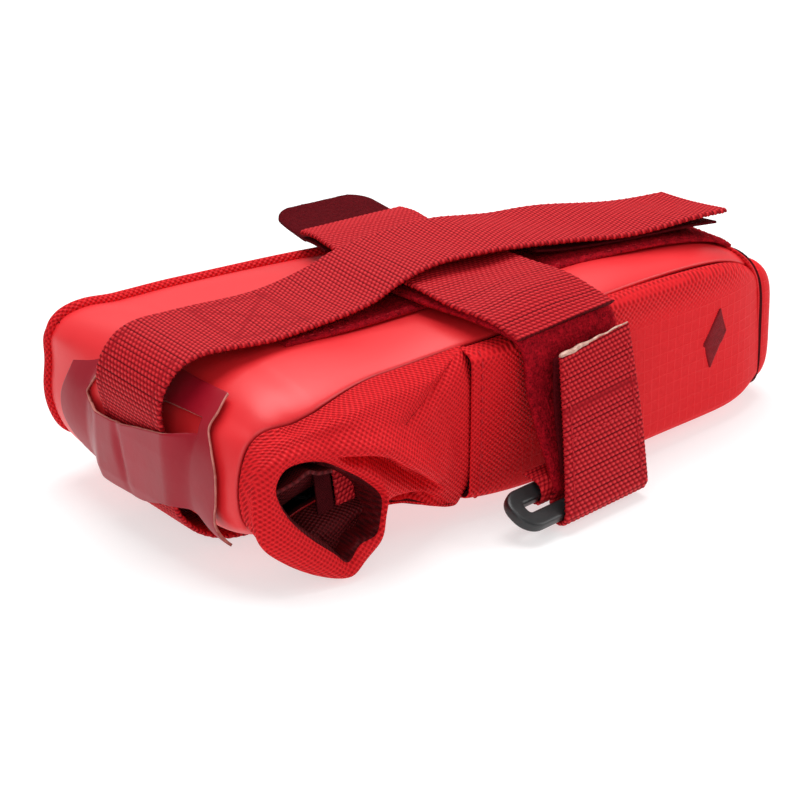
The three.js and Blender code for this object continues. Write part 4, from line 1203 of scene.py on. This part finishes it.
# %% Inside the sleeve
fold_front = [[-2.6, -51.4, 26.6], [1.6, -52.6, 28.4], [5.6, -52.9, 30.4], [8.4, -52.8, 29.4], [12.6, -52.6, 29.0]]
fold_back = [[0.6, -41, 24.6], [3.6, -41, 26.4], [7, -41, 28.0], [9.4, -41, 27.4], [13, -41, 27.0]]
fold_grid = ribbon(fold_back, fold_front, 0.4)
# The second layer is drawn in WOVEN_SHADE: painted shade, as it lies down inside the sleeve
fold_layer = cloth("sleeve_second_layer", fold_grid, 0.9, [WOVEN_SHADE], "lining", "closure",
                   marks={"calm": np.zeros(fold_grid.shape[:2])})
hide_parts("ear_fold")
pull = ribbon([[18.2, -46.4, 5.8], [18.6, -45.4, 14], [18.2, -43.4, 26]],
              [[24.6, -45.6, 9.6], [24.6, -44.6, 15], [24.0, -42.8, 26]], 0.34)[:, ::-1]
pull_end = webbing("sleeve_pull_webbing", pull, 1.3, "closure")
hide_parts("ear_pull_webbing")
binding = ribbon([[12.6, -46.0, 6.5], [13.0, -45.0, 15], [12.8, -43.0, 27]],
                 [[17.0, -46.2, 5.4], [17.6, -45.2, 14], [17.2, -43.2, 27]], 0.4)[:, ::-1]
binding = cloth("sleeve_seam_binding", binding, 0.7, [LINING], "lining", "closure",
                marks={"calm": np.zeros(binding.shape[:2])})
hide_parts("ear_seam_tape")

# %% [markdown]
# Thread shows wherever two cloths are joined. Each stitch is a short raised dash that dips into
# the cloth at both ends; a run of them follows a line on the cloth. The small mark at the tail is
# a plain lozenge filled with threads laid side by side, as embroidery is.

# %% Thread
def threads(name, paths, outward, radius, finish, body):
    """Raised dashes: paths is dash by sample by 3. Radius follows a half oval along each dash."""
    count, samples, sides = len(paths), paths.shape[1], 6
    along = np.gradient(paths, axis=1)
    along /= np.linalg.norm(along, axis=2, keepdims=True)
    beside = np.cross(along, outward)
    beside /= np.linalg.norm(beside, axis=2, keepdims=True)
    t = np.linspace(-1, 1, samples)
    fat = radius * np.sqrt(np.clip(1 - t ** 4, 0.02, 1))[None, :, None, None]
    turn = np.linspace(0, 2 * math.pi, sides, endpoint=False)[None, None, :, None]
    middle = paths[:, :, None] + outward[:, :, None] * (radius * (0.4 - 0.9 * t ** 4))[None, :, None, None]
    points = middle + fat * (np.cos(turn) * outward[:, :, None] + np.sin(turn) * beside[:, :, None])
    number = np.arange(samples * sides).reshape(samples, sides)
    first, last = number[0], number[-1]
    quads = np.concatenate([grid_faces(number, True)[:, ::-1],
                            [first[[0, 1, 2, 3]], first[[0, 3, 4, 5]]], [last[[3, 2, 1, 0]], last[[5, 4, 3, 0]]]])
    quads = (quads[None] + (np.arange(count) * samples * sides)[:, None, None]).reshape(-1, 4)
    return new_piece(name, points, quads, [finish], "embroidery", body)


def stitches(name, line, outward, body, finish, length=2.0, gap=0.9, radius=0.24):
    """A run of stitches of equal length along a line on a cloth."""
    walk = np.concatenate([[0], np.cumsum(np.linalg.norm(np.diff(line, axis=0), axis=1))])
    count = int(walk[-1] / (length + gap))
    at = (np.arange(count)[:, None] + 0.5) * walk[-1] / count + np.linspace(-0.5, 0.5, 7)[None] * length
    pick = lambda table: np.stack([np.interp(at, walk, table[:, k]) for k in range(3)], axis=-1)
    out = pick(outward)
    return threads(name, pick(line), out / np.linalg.norm(out, axis=2, keepdims=True), radius, finish, body)


near_skin, near_out = turned(near_grid, 1.0, (0, 2, 3)), normals_of(near_grid)
row = 8
stitches("sleeve_seam_stitches", near_skin[row, 6:-6], near_out[row, 6:-6], "shell", THREAD)


def on_strip(grid, normal, u_share, v_share, lift):
    """Points above a ribbon at shares of its length and width, and the normals there."""
    r = np.clip(np.asarray(u_share) * (len(grid) - 1), 0, len(grid) - 1)
    c = np.clip(np.asarray(v_share) * (grid.shape[1] - 1), 0, grid.shape[1] - 1)
    r, c = np.broadcast_arrays(np.round(r).astype(int), np.round(c).astype(int))
    return grid[r, c] + normal[r, c] * lift, normal[r, c]


tab_out = normals_of(tab_mid)
for number, u_at in enumerate((0.60, 0.66)):
    line, out = on_strip(tab_mid, tab_out, u_at, np.linspace(0.08, 0.92, 60), 0.62)
    stitches(f"tab_cross_stitches_{number}", line, out, "tab", THREAD, 1.8, 0.9, 0.25)

tab_edge_lines = ((0.085, 0.30, 0.93), (0.915, 0.30, 0.93))
for number, (v_at, first, last) in enumerate(tab_edge_lines):
    line, out = on_strip(tab_mid, tab_out, np.linspace(first, last, 90), v_at, 0.62)
    stitches(f"tab_side_stitches_{number}", line, out, "tab", THREAD, 1.8, 0.9, 0.22)
tape_out = normals_of(loop_mid)
for number, v_at in enumerate((0.05, 0.95)):
    line, out = on_strip(loop_mid, tape_out, np.linspace(0.01, 0.99, 300), v_at, 0.55)
    stitches(f"top_tape_stitches_{number}", line, out, "shell", THREAD, 2.0, 0.8, 0.24)

MOTIF_X, MOTIF_Z, MOTIF_WIDE, MOTIF_TALL = 150.0, 26.5, 5.2, 8.4
heights = np.arange(-MOTIF_TALL + 0.5, MOTIF_TALL - 0.4, 0.42)
spans = MOTIF_WIDE * (1 - np.abs(heights) / MOTIF_TALL)
rail = np.linspace(-1, 1, 15)
motif_x = MOTIF_X + 0.18 * heights[:, None] + spans[:, None] * rail[None]
motif_z = MOTIF_Z + heights[:, None] + 0.12 * spans[:, None] * rail[None]
near_middle = near_grid[:, near_grid.shape[1] // 2, 0]
near_row = np.clip(np.searchsorted(near_middle, motif_x), 0, len(near_grid) - 1)
near_column = np.argmin(np.abs(near_grid[near_row][..., 2] - motif_z[..., None]), axis=-1)
skin, out = near_grid[near_row, near_column], near_out[near_row, near_column]
skin = np.stack([motif_x, skin[..., 1], motif_z], axis=-1)
skin[..., 1] = (np.pad(skin[..., 1], ((0, 0), (2, 2)), "edge")[:, 4:] + skin[..., 1]
                + np.pad(skin[..., 1], ((0, 0), (2, 2)), "edge")[:, :-4]) / 3 - 0.12
motif = threads("tail_motif_embroidery", skin, out, 0.27, THREAD_DARK, "shell")
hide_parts("tail_motif")

# %% [markdown]
# The bag lies on a plain pale floor in soft studio light, and the camera looks from the front
# left, a little above. A large soft light overhead makes the satin cloth glow.

# %% Floor, light and camera
floor_mesh = bpy.data.meshes.new("floor")
side = 3.0
floor_mesh.from_pydata([(-side, -side, 0), (side, -side, 0), (side, side, 0), (-side, side, 0)], [],
                       [(0, 1, 2, 3)])
floor = bpy.data.objects.new("floor", floor_mesh)
bpy.context.scene.collection.objects.link(floor)
floor_finish = Finish("pale_floor", 0.9, Base_Color=(0.50, 0.50, 0.50, 1), Specular_IOR_Level=0.05,
                      Emission_Color=(1, 1, 1, 1), Emission_Strength=0.58)
floor_mesh.materials.append(floor_finish.material)
floor.location.z = -0.0003


def soft_light(name, place, size, power, aim=(0, 0, 0.02), colour=(1, 1, 1)):
    lamp = bpy.data.lights.new(name, "AREA")
    lamp.shape, lamp.size, lamp.energy, lamp.color = "DISK", size, power, colour
    holder = bpy.data.objects.new(name, lamp)
    bpy.context.scene.collection.objects.link(holder)
    holder.location = place
    holder.rotation_mode = "QUATERNION"
    holder.rotation_quaternion = (Vector(aim) - Vector(place)).to_track_quat("-Z", "Y")


soft_light("key_above", (0.10, 0.25, 0.95), 0.9, 10.0)
soft_light("fill_front", (-0.85, -0.75, 0.55), 0.8, 2.6)
soft_light("side_right", (0.9, -0.5, 0.5), 0.5, 3.0)
world = bpy.data.worlds.new("studio")
world.use_nodes = True
world.node_tree.nodes["Background"].inputs[0].default_value = (1, 1, 1, 1)
world.node_tree.nodes["Background"].inputs[1].default_value = 0.42
bpy.context.scene.world = world
bpy.context.scene.view_settings.view_transform = "Standard"

AZIMUTH, ELEVATION, DISTANCE = math.radians(35), math.radians(21.5), 0.775
AIM = Vector((-0.0166, -0.008, 0.0207))
back = Vector((-math.sin(AZIMUTH) * math.cos(ELEVATION), -math.cos(AZIMUTH) * math.cos(ELEVATION),
               math.sin(ELEVATION)))
camera = bpy.data.objects.new("camera", bpy.data.cameras.new("camera"))
bpy.context.scene.collection.objects.link(camera)
camera.data.lens, camera.data.sensor_width = 135, 36
camera.location = AIM + back * DISTANCE
camera.rotation_mode = "QUATERNION"
camera.rotation_quaternion = (-back).to_track_quat("-Z", "Y")
bpy.context.scene.camera = camera
print("camera at", [round(c, 3) for c in camera.location])
